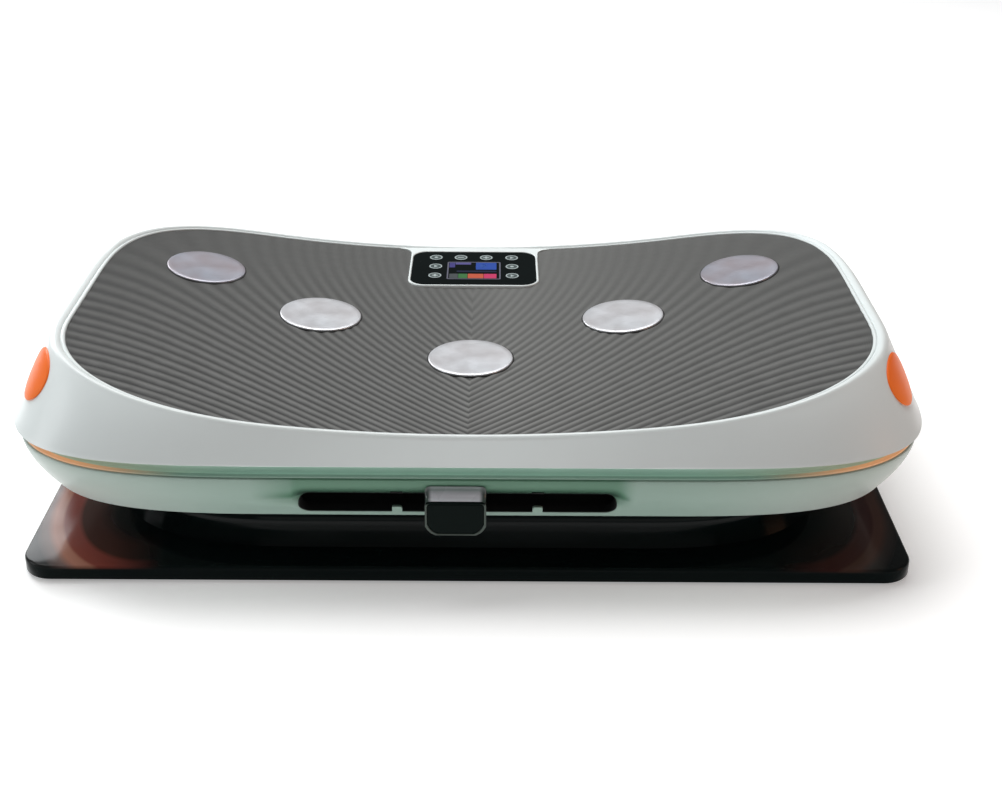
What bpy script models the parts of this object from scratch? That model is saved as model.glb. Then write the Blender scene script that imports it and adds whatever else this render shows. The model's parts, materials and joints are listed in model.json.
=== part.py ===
"""Vibration plate, in metres with +Z up: a dished platform that rocks on a fixed housing.

X runs along the platform and Y from the user's side to the display side. A motor turns a
crank through a belt, and the crank's rod tips the platform about the pivot shaft, which
lies along Y. Every sub-part is one object, parented to the empty on its body's joint axis.
"""

import math
from collections import namedtuple

import bmesh
import bpy
from mathutils import Matrix, Vector

MM = 0.001
GAP = 0.3 * MM

# Plan: the mat's outline is four superellipse corners joined by straight edges. Reach along Y is signed.
Corner = namedtuple("Corner", "x y reach_x reach_y power")
MAT_FRONT = Corner(139 * MM, -60 * MM, 202 * MM, -143 * MM, 2.5)
MAT_REAR = Corner(190 * MM, 32 * MM, 151 * MM, 171 * MM, 2.9)
SLAB_FRONT = Corner(338 * MM, -198 * MM, 25 * MM, -25 * MM, 2.0)
SLAB_REAR = Corner(338 * MM, 198 * MM, 25 * MM, 25 * MM, 2.0)
MAT_PLAN = (MAT_FRONT, MAT_REAR)
SLAB_PLAN = (SLAB_FRONT, SLAB_REAR)
# The rear corners turn in earlier as an outline grows: how far forward they start, per unit of growth.
REAR_LEAD = 2.0
STRAIGHT_STEPS = 8
CORNER_STEPS = 8
HALF_MAT = MAT_FRONT.x + MAT_FRONT.reach_x
PLAN_SHIFT_Y = 5.2 * MM

# Deck: a shallow cylinder along Y, lowest in the middle.
DECK_RADIUS = 1518 * MM
DECK_LOW = 126 * MM
MAT_THICK = 3 * MM
WALL = 3 * MM
PLATE_THICK = 3 * MM
SHELL_FLOOR = MAT_THICK + GAP
SHELL_CEILING = SHELL_FLOOR + WALL
PLATE_TOP = SHELL_CEILING + GAP
PLATE_BOTTOM = PLATE_TOP + PLATE_THICK

# How far each outline stands out from the mat's along X and Y, and how much squarer its corners are.
BEAD_OUT = (13 * MM, 8 * MM)
BEAD_RISE = 2.6 * MM
SKIRT_OUT = (39 * MM, 24.5 * MM)
SKIRT_SQUARE = 1.2
SKIRT_EDGE_Z = 110 * MM
LEDGE_OUT = (38 * MM, 24.5 * MM)
LEDGE_Z = 99 * MM
COLLAR_OUT = (27 * MM, 13 * MM)
COLLAR_TOP_Z = 111 * MM
LIP_OUT = (19 * MM, 6 * MM)
LIP_Z = 57.5 * MM
SHELL_SQUARE = 0.8
UNDERSIDE_Z = 55.5 * MM
UNDERSIDE_IN = (-57 * MM, -34 * MM)
PEDESTAL_OUT = (-36 * MM, -13 * MM)
PEDESTAL_NECK = (-54 * MM, -31 * MM)
PEDESTAL_BEND_Z = 34 * MM
PEDESTAL_TOP_Z = 52 * MM

# Base slab, base plate and feet.
SLAB_TOP_Z = 15 * MM
SLAB_WALL = 3.5 * MM
FOOT_DROP = 2.5 * MM
BASE_TOP_Z = 5 * MM
FOOT_AT = (308 * MM, 182 * MM)
FOOT_RADIUS = 20 * MM

# Discs: radius, and centres from the middle one outwards on the right.
DISC_RADIUS = 36.9 * MM
DISC_PLACES = ((0.0, -60 * MM), (138.5 * MM, 19.3 * MM), (255.2 * MM, 96.1 * MM))
DISC_RISE = 1.6 * MM
DISC_LIFT = 1.0 * MM

# Display panel, at the rear edge of the deck.
PANEL_HALF = 64 * MM
PANEL_Y = (102 * MM, 196 * MM)
PANEL_CORNER = 17 * MM
BEZEL = 4.6 * MM
PANEL_Z = (124.6 * MM, 128.8 * MM)
WELL_INSET = 9 * MM

# Rocking mechanism.
PIVOT = (0.0, 75 * MM)
PIVOT_RADIUS = 10 * MM
CHEEK_Y = 92 * MM
CHEEK_HALF = 205 * MM
CHEEK_THICK = 6 * MM
STAND_Y = 112 * MM
THROW = 2.1 * MM
ROD_X = 90 * MM
CRANK = (ROD_X - THROW, 55 * MM)
CRANK_RADIUS = 8 * MM
ECCENTRIC_RADIUS = 14 * MM
ROD_TOP_Z = 96 * MM
ROD_PIN_RADIUS = 5 * MM
ROD_EYE_RADIUS = 10.4 * MM
ROD_THICK = 12 * MM
MOTOR = (205 * MM, 58 * MM)
MOTOR_RADIUS = 34 * MM
CRANK_PULLEY_RADIUS = 35 * MM
MOTOR_PULLEY_RADIUS = 14 * MM
BELT_Y = (52 * MM, 62 * MM)
BELT_THICK = 3 * MM
BUFFER_X = 180 * MM
BUFFER_RADIUS = 15 * MM
BUFFER_Z = (62 * MM, 99 * MM)

# Front slot, its band hooks, and the remote control hung in it.
SLOT_X = (-134.7 * MM, 119.0 * MM)
SLOT_Z = (61 * MM, 80 * MM)
HOOK_X = (-56.2 * MM, 55.9 * MM)
HOOK_WIDE = 8 * MM
HOOK_TALL = 7 * MM
REMOTE_X = -9 * MM
REMOTE_HALF = 24 * MM
REMOTE_Z = (55 * MM, 85 * MM)
REMOTE_HOOD_Z = 94 * MM
REMOTE_Y = (-238 * MM, -227.6 * MM)

# Rear mains inlet with its rocker switch.
INLET_X = (170 * MM, 232 * MM)
INLET_Z = (16.5 * MM, 38 * MM)
INLET_Y = (164 * MM, 192.5 * MM)
SOCKET_X = 187 * MM
SWITCH_X = 219 * MM
SWITCH_TILT = 8.0

# Side lamps: degrees round the front corner, half the width in degrees, and the share of the skirt covered.
LAMP_ANGLE = 70.0
LAMP_SPREAD = 12.0
LAMP_DROP = (0.06, 0.66)


# --- Scene and finishes -------------------------------------------------------------


def clear_scene():
    for obj in list(bpy.data.objects):
        bpy.data.objects.remove(obj)


def look(name, colour, roughness, metallic=0.0):
    """A Principled material, made once for each name."""
    found = bpy.data.materials.get(name)
    if found:
        return found
    material = bpy.data.materials.new(name)
    material.use_nodes = True
    shader = material.node_tree.nodes["Principled BSDF"]
    shader.inputs["Base Color"].default_value = (*colour, 1.0)
    shader.inputs["Roughness"].default_value = roughness
    shader.inputs["Metallic"].default_value = metallic
    return material


def white_shell():
    return look("white_shell", (0.83, 0.84, 0.84), 0.3)


def pale_shell():
    return look("pale_shell", (0.62, 0.68, 0.64), 0.32)


def gloss_black():
    return look("gloss_black", (0.012, 0.013, 0.014), 0.12)


def rubber(shade=0.03):
    return look(f"rubber_{round(shade * 100)}", (shade, shade, shade), 0.85)


def steel():
    return look("steel", (0.55, 0.56, 0.58), 0.4, 1.0)


def black_plastic():
    return look("black_plastic", (0.03, 0.03, 0.03), 0.5)


def lamp_orange():
    return look("lamp_orange", (0.85, 0.22, 0.05), 0.3)


def aluminium():
    return look("aluminium", (0.6, 0.6, 0.6), 0.35, 1.0)


def board_green():
    return look("board_green", (0.03, 0.18, 0.08), 0.5)


def empty(name, place, parent=None, turn=None):
    axis = bpy.data.objects.new(name, None)
    axis.location = place
    axis.parent = parent
    if turn:
        axis.rotation_euler = turn
    PARTS.objects.link(axis)
    return axis


def add(name, mesh, material, axis):
    """Puts a mesh in the parts' collection, riding on the empty of its joint axis."""
    mesh.name = name
    mesh.materials.clear()
    mesh.materials.append(material)
    mesh.shade_smooth()
    mesh.set_sharp_from_angle(angle=math.radians(35))
    obj = bpy.data.objects.new(name, mesh)
    obj.parent = axis
    if axis is not MACHINE:
        obj.matrix_parent_inverse = Matrix.Translation(-axis.location)
    PARTS.objects.link(obj)
    return obj


def combine(target, name, mesh, operation):
    """Applies a Boolean with a mesh that stays hidden in its own collection."""
    helper = bpy.data.objects.new(f"helper_{name}", mesh)
    helper.parent = target.parent
    helper.matrix_parent_inverse = target.matrix_parent_inverse
    helper.hide_render = True
    helper.display_type = "WIRE"
    HELPERS.objects.link(helper)
    modifier = target.modifiers.new(name, "BOOLEAN")
    modifier.operation = operation
    modifier.object = helper


def cut(target, name, mesh):
    combine(target, name, mesh, "DIFFERENCE")


def join(target, name, mesh):
    combine(target, name, mesh, "UNION")


# --- Shapes -------------------------------------------------------------------------


def box_mesh(low, high, bevel=0.0):
    low, high = Vector(low), Vector(high)
    mesh = bpy.data.meshes.new("box")
    shape = bmesh.new()
    bmesh.ops.create_cube(shape, size=1.0)
    bmesh.ops.scale(shape, vec=high - low, verts=shape.verts)
    bmesh.ops.translate(shape, vec=(low + high) / 2, verts=shape.verts)
    if bevel:
        bmesh.ops.bevel(shape, geom=shape.edges[:], offset=bevel, segments=2, affect="EDGES", profile=0.5)
    shape.to_mesh(mesh)
    shape.free()
    return mesh


def cylinder_mesh(radius, low, high, place, along="Y", steps=24):
    """A closed cylinder from low to high along an axis, centred on the other two values of place."""
    mesh = bpy.data.meshes.new("cylinder")
    shape = bmesh.new()
    bmesh.ops.create_cone(
        shape, cap_ends=True, segments=steps, radius1=radius, radius2=radius, depth=high - low
    )
    middle = (low + high) / 2
    if along == "Y":
        turn = Matrix.Rotation(math.radians(90), 4, "X")
        centre = Vector((place[0], middle, place[1]))
    elif along == "X":
        turn = Matrix.Rotation(math.radians(90), 4, "Y")
        centre = Vector((middle, place[0], place[1]))
    else:
        turn = Matrix.Identity(4)
        centre = Vector((place[0], place[1], middle))
    bmesh.ops.transform(shape, matrix=Matrix.Translation(centre) @ turn, verts=shape.verts)
    shape.to_mesh(mesh)
    shape.free()
    return mesh


def turned_mesh(profile, place, along="Y", steps=24):
    """Revolves (radius, distance) points, listed from the low end outwards and back to the axis."""
    mesh = bpy.data.meshes.new("turned")
    shape = bmesh.new()
    verts = [shape.verts.new((radius, 0.0, distance)) for radius, distance in profile]
    for first, second in zip(verts, verts[1:]):
        shape.edges.new((first, second))
    bmesh.ops.spin(
        shape,
        geom=shape.verts[:] + shape.edges[:],
        axis=(0, 0, 1),
        cent=(0, 0, 0),
        angle=math.tau,
        steps=steps,
        use_merge=True,
    )
    bmesh.ops.remove_doubles(shape, verts=shape.verts, dist=1e-6)
    bmesh.ops.recalc_face_normals(shape, faces=shape.faces)
    if along == "Y":
        turn = Matrix.Rotation(math.radians(-90), 4, "X")
        centre = Vector((place[0], 0.0, place[1]))
    else:
        turn = Matrix.Identity(4)
        centre = Vector((place[0], place[1], 0.0))
    bmesh.ops.transform(shape, matrix=Matrix.Translation(centre) @ turn, verts=shape.verts)
    shape.to_mesh(mesh)
    shape.free()
    return mesh


def flat_mesh(outlines, low, high, plane="XY"):
    """Fills closed outlines, holes included, as a 2D curve and gives them thickness from low to high."""
    curve = bpy.data.curves.new("outline", "CURVE")
    curve.dimensions = "2D"
    curve.fill_mode = "BOTH"
    curve.extrude = (high - low) / 2
    for outline in outlines:
        spline = curve.splines.new("POLY")
        spline.points.add(len(outline) - 1)
        for point, (across, up) in zip(spline.points, outline):
            point.co = (across, up, 0.0, 1.0)
        spline.use_cyclic_u = True
    guide = bpy.data.objects.new("outline", curve)
    bpy.context.scene.collection.objects.link(guide)
    bpy.context.view_layer.update()
    mesh = bpy.data.meshes.new_from_object(guide.evaluated_get(bpy.context.evaluated_depsgraph_get()))
    bpy.data.objects.remove(guide)
    middle = (low + high) / 2
    if plane == "XZ":
        place = Matrix.Translation((0, middle, 0)) @ Matrix.Rotation(math.radians(90), 4, "X")
    elif plane == "YZ":
        turn = Matrix.Rotation(math.radians(90), 4, "Z") @ Matrix.Rotation(math.radians(90), 4, "X")
        place = Matrix.Translation((middle, 0, 0)) @ turn
    else:
        place = Matrix.Translation((0, 0, middle))
    shape = bmesh.new()
    shape.from_mesh(mesh)
    bmesh.ops.remove_doubles(shape, verts=shape.verts, dist=1e-6)
    bmesh.ops.transform(shape, matrix=place, verts=shape.verts)
    bmesh.ops.recalc_face_normals(shape, faces=shape.faces)
    shape.to_mesh(mesh)
    shape.free()
    return mesh


def circle(radius, centre=(0.0, 0.0), steps=24):
    return [
        (
            centre[0] + radius * math.cos(math.tau * i / steps),
            centre[1] + radius * math.sin(math.tau * i / steps),
        )
        for i in range(steps)
    ]


def arc(radius, centre, start, end, steps):
    """Points of an arc between two angles in degrees, both ends included."""
    return [
        (
            centre[0] + radius * math.cos(math.radians(start + (end - start) * i / steps)),
            centre[1] + radius * math.sin(math.radians(start + (end - start) * i / steps)),
        )
        for i in range(steps + 1)
    ]


def rounded_rectangle(low, high, radius, steps=5):
    (x0, y0), (x1, y1) = low, high
    return (
        arc(radius, (x1 - radius, y0 + radius), -90, 0, steps)
        + arc(radius, (x1 - radius, y1 - radius), 0, 90, steps)
        + arc(radius, (x0 + radius, y1 - radius), 90, 180, steps)
        + arc(radius, (x0 + radius, y0 + radius), 180, 270, steps)
    )


def round_two(centre_a, radius_a, centre_b, radius_b, steps=12):
    """The outline of a belt drawn tight around two circles."""
    apart = math.dist(centre_a, centre_b)
    heading = math.degrees(math.atan2(centre_b[1] - centre_a[1], centre_b[0] - centre_a[0]))
    lean = math.degrees(math.acos((radius_a - radius_b) / apart))
    around_b = arc(radius_b, centre_b, heading - lean, heading + lean, steps)
    around_a = arc(radius_a, centre_a, heading + lean, heading + 360 - lean, steps)
    return around_b + around_a


def deck_height(x):
    """Height of the tread at x. Past the mat's ends it stays level."""
    reach = min(abs(x), HALF_MAT)
    return DECK_LOW + DECK_RADIUS - math.sqrt(DECK_RADIUS**2 - reach**2)


def edge_y(x, corner, grow_x, grow_y, square=0.0):
    """The outline's Y at x: straight along the middle, then round the superellipse corner."""
    power = corner.power + square
    share = max(0.0, abs(x) - corner.x) / (corner.reach_x + grow_x)
    rise = max(0.0, 1 - min(share, 1.0) ** power) ** (1 / power)
    side = math.copysign(1.0, corner.reach_y)
    return corner.y + (corner.reach_y + side * grow_y) * rise


def stations(corner, grow_x, square):
    """X positions along an outline, closer together towards its ends."""
    power = 2 / (corner.power + square)
    straight = [corner.x * (2 * i / STRAIGHT_STEPS - 1) for i in range(STRAIGHT_STEPS + 1)]
    turn = [
        corner.x + (corner.reach_x + grow_x) * math.sin(math.pi / 2 * i / CORNER_STEPS) ** power
        for i in range(1, CORNER_STEPS + 1)
    ]
    return [-x for x in reversed(turn)] + straight + turn


def ring(out, height, square=0.0, plan=MAT_PLAN):
    """One closed outline: the plan grown by out, at a height that is a number or a function of x."""
    front, rear = plan
    lead = REAR_LEAD * max(0.0, out[0])
    rear = rear._replace(y=rear.y - lead, reach_y=rear.reach_y + lead)
    xs = stations(front, out[0], square)
    points = [(x, edge_y(x, front, *out, square)) for x in xs]
    points += [(x, edge_y(x, rear, *out, square)) for x in reversed(xs)]
    return [Vector((x, y, height(x) if callable(height) else height)) for x, y in points]


def under_deck(depth):
    return lambda x: deck_height(x) - depth


def loft_mesh(rings, hollow=False):
    """Skins outlines in order. A hollow loft closes on itself; a solid one gets ruled ends along Y."""
    mesh = bpy.data.meshes.new("loft")
    shape = bmesh.new()
    rows = [[shape.verts.new(point) for point in points] for points in rings]
    count = len(rows[0])
    joins = list(zip(rows, rows[1:]))
    if hollow:
        joins.append((rows[-1], rows[0]))
    for lower, upper in joins:
        for i in range(count):
            j = (i + 1) % count
            shape.faces.new((lower[i], lower[j], upper[j], upper[i]))
    if not hollow:
        for row in (rows[0], rows[-1]):
            for i in range(count // 2 - 1):
                shape.faces.new((row[i], row[i + 1], row[count - 2 - i], row[count - 1 - i]))
    bmesh.ops.recalc_face_normals(shape, faces=shape.faces)
    shape.to_mesh(mesh)
    shape.free()
    return mesh


# --- Platform -----------------------------------------------------------------------


def skirt_point(share, inset=0.0, depth=0.0):
    """Growth, height and squareness of the skirt at a share of its run from bead to lower edge."""
    out = [bead + (edge - bead) * share - inset for bead, edge in zip(BEAD_OUT, SKIRT_OUT)]

    def height(x):
        return (deck_height(x) - depth) * (1 - share) + SKIRT_EDGE_Z * share

    return out, height, SKIRT_SQUARE * share


def upper_shell(axis):
    edge = (GAP, GAP)
    crest = ((0.12, 0.6), (0.4, 1.0), (0.75, 0.75), (0.97, 0.1))
    rings = [ring(edge, under_deck(SHELL_FLOOR)), ring(edge, under_deck(0.2 * MM))]
    for across, up in crest:
        out = [value * across for value in BEAD_OUT]
        rings.append(ring(out, under_deck(-BEAD_RISE * up)))
    rings += [ring(*skirt_point(share)) for share in (0.08, 0.3, 0.55, 0.8, 1.0)]
    rings += [ring(*skirt_point(share, WALL, WALL)) for share in (1.0, 0.7, 0.4, 0.1)]
    rings.append(ring(edge, under_deck(SHELL_CEILING)))
    shell = add("upper_shell", loft_mesh(rings), white_shell(), axis)
    cut(shell, "shell_well", panel_well_mesh())
    return shell


def deck_mat(axis):
    rings = [ring((0, 0), under_deck(MAT_THICK)), ring((0, 0), under_deck(0.6 * MM))]
    rings.append(ring((-0.6 * MM, -0.6 * MM), under_deck(0)))
    mat = add("deck_mat", loft_mesh(rings), rubber(0.14), axis)
    notch = rounded_rectangle(
        (-PANEL_HALF - GAP, PANEL_Y[0] - GAP), (PANEL_HALF + GAP, PANEL_Y[1] + 40 * MM), PANEL_CORNER
    )
    cut(mat, "mat_notch", flat_mesh([notch], DECK_LOW - 10 * MM, DECK_LOW + 20 * MM))
    for index, place in enumerate(disc_places()):
        hole = cylinder_mesh(DISC_RADIUS + GAP, DECK_LOW - 20 * MM, DECK_LOW + 60 * MM, place, "Z", 28)
        cut(mat, f"disc_{index + 1}", hole)
    return mat


def disc_places():
    """Centres of the massage discs, from the left end to the right."""
    left = [(-x, y) for x, y in reversed(DISC_PLACES[1:])]
    return left + list(DISC_PLACES)


def massage_discs(axis):
    """Each disc stands just clear of the shell's floor, tilted to lie square to the dished deck."""
    thick = SHELL_FLOOR - DISC_LIFT + DISC_RISE
    for index, (x, y) in enumerate(disc_places()):
        profile = [
            (0, 0),
            (DISC_RADIUS, 0),
            (DISC_RADIUS, thick - DISC_RISE * 0.6),
            (DISC_RADIUS - 1.5 * MM, thick),
            (0, thick),
        ]
        mesh = turned_mesh(profile, (0, 0), "Z", 28)
        tilt = -math.copysign(math.asin(abs(x) / DECK_RADIUS), x)
        foot = Vector((x, y, deck_height(x) - SHELL_FLOOR + DISC_LIFT))
        mesh.transform(Matrix.Translation(foot) @ Matrix.Rotation(tilt, 4, "Y"))
        add(f"massage_disc_{index + 1}", mesh, look("satin_metal", (0.6, 0.6, 0.62), 0.35, 0.8), axis)


def deck_plate(axis):
    inset = (-22 * MM, -22 * MM)
    rings = [ring(inset, under_deck(PLATE_BOTTOM)), ring(inset, under_deck(PLATE_TOP))]
    plate = add("deck_plate", loft_mesh(rings), steel(), axis)
    cut(plate, "plate_well", panel_well_mesh(2 * MM))


def panel_outline(inset):
    return rounded_rectangle(
        (-PANEL_HALF + inset, PANEL_Y[0] + inset),
        (PANEL_HALF - inset, PANEL_Y[1] - inset),
        PANEL_CORNER - inset,
    )


def panel_well_mesh(grow=0.0):
    outline = rounded_rectangle(
        (-PANEL_HALF + WELL_INSET - grow, PANEL_Y[0] + WELL_INSET - grow),
        (PANEL_HALF - WELL_INSET + grow, PANEL_Y[1] - WELL_INSET + grow),
        6 * MM,
    )
    return flat_mesh([outline], DECK_LOW - 25 * MM, DECK_LOW + 15 * MM)


def control_panel(axis):
    rim = flat_mesh([panel_outline(0.0), panel_outline(BEZEL)], *PANEL_Z)
    add("panel_bezel", rim, white_shell(), axis)
    glass = flat_mesh([panel_outline(BEZEL + GAP)], PANEL_Z[0] + GAP, PANEL_Z[1] - 0.6 * MM)
    add("panel_glass", glass, gloss_black(), axis)
    well = WELL_INSET + 1 * MM
    middle = (PANEL_Y[0] + PANEL_Y[1]) / 2
    screen = box_mesh(
        (-31 * MM, middle - 21 * MM, PANEL_Z[0] - 7 * MM), (31 * MM, middle + 21 * MM, PANEL_Z[0] - GAP)
    )
    add("display_screen", screen, look("display", (0.02, 0.03, 0.09), 0.2), axis)
    board = box_mesh(
        (-PANEL_HALF + well, PANEL_Y[0] + well, PANEL_Z[0] - 9 * MM),
        (PANEL_HALF - well, PANEL_Y[1] - well, PANEL_Z[0] - 7.4 * MM),
    )
    add("panel_board", board, board_green(), axis)


def side_lamp(side, axis):
    """A thin lens that lies on the skirt: an oval patch of the skirt's own surface, given thickness."""
    rings_count, spokes = 2, 18
    middle = sum(LAMP_DROP) / 2
    half = (LAMP_DROP[1] - LAMP_DROP[0]) / 2

    def surface(share_out, angle, lift):
        along = math.radians(LAMP_ANGLE + LAMP_SPREAD * share_out * math.cos(angle))
        out, height, square = skirt_point(middle + half * share_out * math.sin(angle), -lift)
        reach_x = MAT_FRONT.reach_x + out[0]
        x = MAT_FRONT.x + reach_x * math.sin(along) ** (2 / (MAT_FRONT.power + square))
        return Vector((side * x, edge_y(x, MAT_FRONT, *out, square), height(x)))

    mesh = bpy.data.meshes.new("lamp")
    shape = bmesh.new()
    skins = []
    for lift in (0.4 * MM, 2.2 * MM):
        hub = shape.verts.new(surface(0.0, 0.0, lift))
        rows = [
            [shape.verts.new(surface(r / rings_count, math.tau * i / spokes, lift)) for i in range(spokes)]
            for r in range(1, rings_count + 1)
        ]
        for i in range(spokes):
            j = (i + 1) % spokes
            shape.faces.new((hub, rows[0][i], rows[0][j]))
            for inner, outer in zip(rows, rows[1:]):
                shape.faces.new((inner[i], outer[i], outer[j], inner[j]))
        skins.append(rows[-1])
    for i in range(spokes):
        j = (i + 1) % spokes
        shape.faces.new((skins[0][i], skins[0][j], skins[1][j], skins[1][i]))
    bmesh.ops.recalc_face_normals(shape, faces=shape.faces)
    shape.to_mesh(mesh)
    shape.free()
    add("side_lamp_right" if side > 0 else "side_lamp_left", mesh, lamp_orange(), axis)


def rocker_cheek(name, y, axis):
    """A steel web under the deck plate, with the hub that holds the pivot shaft."""
    top = PLATE_BOTTOM + GAP
    steps = 16
    xs = [CHEEK_HALF * (2 * i / steps - 1) for i in range(steps + 1)]
    upper = [(x, deck_height(x) - top) for x in xs]
    foot = deck_height(CHEEK_HALF) - top - 26 * MM
    hub = arc(22 * MM, PIVOT, -10, -170, 10)
    lower = [(CHEEK_HALF, foot), (BUFFER_X - 22 * MM, foot)] + hub
    lower += [(-BUFFER_X + 22 * MM, foot), (-CHEEK_HALF, foot)]
    outline = upper + lower
    hole = circle(PIVOT_RADIUS + GAP, PIVOT)
    mesh = flat_mesh([outline, hole], y - CHEEK_THICK / 2, y + CHEEK_THICK / 2, "XZ")
    add(name, mesh, steel(), axis)


def rod_clevis(axis):
    """The fork under the deck plate that carries the connecting rod's pin."""
    top = deck_height(ROD_X - 14 * MM) - PLATE_BOTTOM - GAP
    web = 2.6 * MM
    inner, outer = ROD_THICK / 2 + 5 * MM, ROD_THICK / 2 + 10 * MM
    low = ROD_TOP_Z - 10 * MM
    outline = [(-outer, low), (-inner, low), (-inner, top - web), (inner, top - web)]
    outline += [(inner, low), (outer, low), (outer, top), (-outer, top)]
    fork = add("rod_clevis", flat_mesh([outline], ROD_X - 14 * MM, ROD_X + 14 * MM, "YZ"), steel(), axis)
    hole = cylinder_mesh(ROD_PIN_RADIUS + GAP, -30 * MM, 30 * MM, (ROD_X, ROD_TOP_Z))
    cut(fork, "clevis_hole", hole)
    pin = cylinder_mesh(ROD_PIN_RADIUS, -outer - 2 * MM, outer + 2 * MM, (ROD_X, ROD_TOP_Z))
    add("rod_pin", pin, steel(), axis)


def platform(axis):
    upper_shell(axis)
    deck_mat(axis)
    massage_discs(axis)
    deck_plate(axis)
    control_panel(axis)
    side_lamp(-1, axis)
    side_lamp(1, axis)
    rocker_cheek("rocker_cheek_front", -CHEEK_Y, axis)
    rocker_cheek("rocker_cheek_rear", CHEEK_Y, axis)
    reach = STAND_Y + 16 * MM
    add("pivot_shaft", cylinder_mesh(PIVOT_RADIUS, -reach, reach, PIVOT), steel(), axis)
    rod_clevis(axis)


# --- Drive --------------------------------------------------------------------------


def crank(axis):
    """The eccentric shaft and the large pulley fixed to it."""
    throw = (CRANK[0] + THROW, CRANK[1])
    shaft = cylinder_mesh(CRANK_RADIUS, -46 * MM, 68 * MM, CRANK)
    eccentric = cylinder_mesh(ECCENTRIC_RADIUS, -ROD_THICK / 2 - 1 * MM, ROD_THICK / 2 + 1 * MM, throw)
    body = add("crank_shaft", shaft, steel(), axis)
    join(body, "eccentric", eccentric)
    wheel = pulley_mesh(CRANK_PULLEY_RADIUS, CRANK_RADIUS + GAP, CRANK)
    add("crank_pulley", wheel, aluminium(), axis)


def pulley_mesh(radius, bore, place):
    """A flanged pulley with a through bore, as a ring profile turned about its axis."""
    low, high = BELT_Y[0] - GAP, BELT_Y[1] + GAP
    flange = BELT_THICK + 1 * MM
    side = 1.7 * MM
    profile = [
        (bore, low - side),
        (radius + flange, low - side),
        (radius + flange, low),
        (radius, low),
        (radius, high),
        (radius + flange, high),
        (radius + flange, high + side),
        (bore, high + side),
        (bore, low - side),
    ]
    return turned_mesh(profile, place)


def motor_rotor(axis):
    shaft = cylinder_mesh(5 * MM, 30 * MM, 67 * MM, MOTOR, steps=24)
    add("motor_shaft", shaft, steel(), axis)
    wheel = pulley_mesh(MOTOR_PULLEY_RADIUS, 5 * MM + GAP, MOTOR)
    add("motor_pulley", wheel, aluminium(), axis)


def connecting_rod(axis):
    big = (ROD_X, CRANK[1])
    small = (ROD_X, ROD_TOP_Z)
    body = round_two(big, 21 * MM, small, 14 * MM)
    holes = [circle(ECCENTRIC_RADIUS + 0.5 * MM, big), circle(ROD_EYE_RADIUS, small)]
    mesh = flat_mesh([body] + holes, -ROD_THICK / 2, ROD_THICK / 2, "XZ")
    add("connecting_rod", mesh, aluminium(), axis)


def drive_belt(axis):
    loops = [
        round_two(
            CRANK, CRANK_PULLEY_RADIUS + GAP + lift, MOTOR, MOTOR_PULLEY_RADIUS + GAP + lift, 20
        )
        for lift in (BELT_THICK, 0.0)
    ]
    add("drive_belt", flat_mesh(loops, *BELT_Y, "XZ"), rubber(0.02), axis)


def drive_motor(axis):
    radius = MOTOR_RADIUS
    profile = [
        (0, -72 * MM),
        (12 * MM, -72 * MM),
        (12 * MM, -66 * MM),
        (radius - 4 * MM, -66 * MM),
        (radius, -60 * MM),
        (radius, 20 * MM),
        (radius - 4 * MM, 26 * MM),
        (11 * MM, 26 * MM),
        (11 * MM, 29 * MM),
        (0, 29 * MM),
    ]
    add("drive_motor", turned_mesh(profile, MOTOR), black_plastic(), axis)
    floor = BASE_TOP_Z + GAP
    cradle = [(MOTOR[0] - 44 * MM, floor), (MOTOR[0] + 44 * MM, floor)]
    cradle += [(MOTOR[0] + 44 * MM, floor + 6 * MM)]
    cradle += arc(radius + GAP, MOTOR, -30, -150, 12)
    cradle += [(MOTOR[0] - 44 * MM, floor + 6 * MM)]
    add("motor_cradle", flat_mesh([cradle], -50 * MM, 12 * MM, "XZ"), steel(), axis)


def bearing_stand(name, place, bore, shoulder, width, middle, thick, axis):
    """A pillow block: a foot on the base plate, narrowing to a round head about the bore."""
    floor = BASE_TOP_Z + GAP
    outline = [(place[0] - width, floor), (place[0] + width, floor), (place[0] + width, floor + 9 * MM)]
    outline += arc(shoulder, place, -35, 215, 16)
    outline += [(place[0] - width, floor + 9 * MM)]
    mesh = flat_mesh(
        [outline, circle(bore, place)], middle - thick / 2, middle + thick / 2, "XZ"
    )
    add(name, mesh, look("cast_iron", (0.12, 0.13, 0.14), 0.6, 0.6), axis)


def buffers(axis):
    """Rubber springs between posts on the base plate and the rocker cheeks."""
    floor = BASE_TOP_Z + GAP
    spots = [(x, y) for y in (-CHEEK_Y, CHEEK_Y) for x in (-BUFFER_X, BUFFER_X)]
    for index, place in enumerate(spots):
        post = turned_mesh(
            [
                (0, floor),
                (20 * MM, floor),
                (20 * MM, floor + 5 * MM),
                (12 * MM, floor + 8 * MM),
                (12 * MM, BUFFER_Z[0] - 4 * MM),
                (16 * MM, BUFFER_Z[0] - GAP),
                (0, BUFFER_Z[0] - GAP),
            ],
            place,
            "Z",
            16,
        )
        add(f"buffer_post_{index + 1}", post, steel(), axis)
        radius = BUFFER_RADIUS
        low, high = BUFFER_Z
        waist = (low + high) / 2
        spring = turned_mesh(
            [(0, low), (radius, low), (radius * 0.86, waist), (radius, high), (0, high)], place, "Z", 16
        )
        add(f"rubber_buffer_{index + 1}", spring, rubber(0.02), axis)


# --- Housing ------------------------------------------------------------------------


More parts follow.
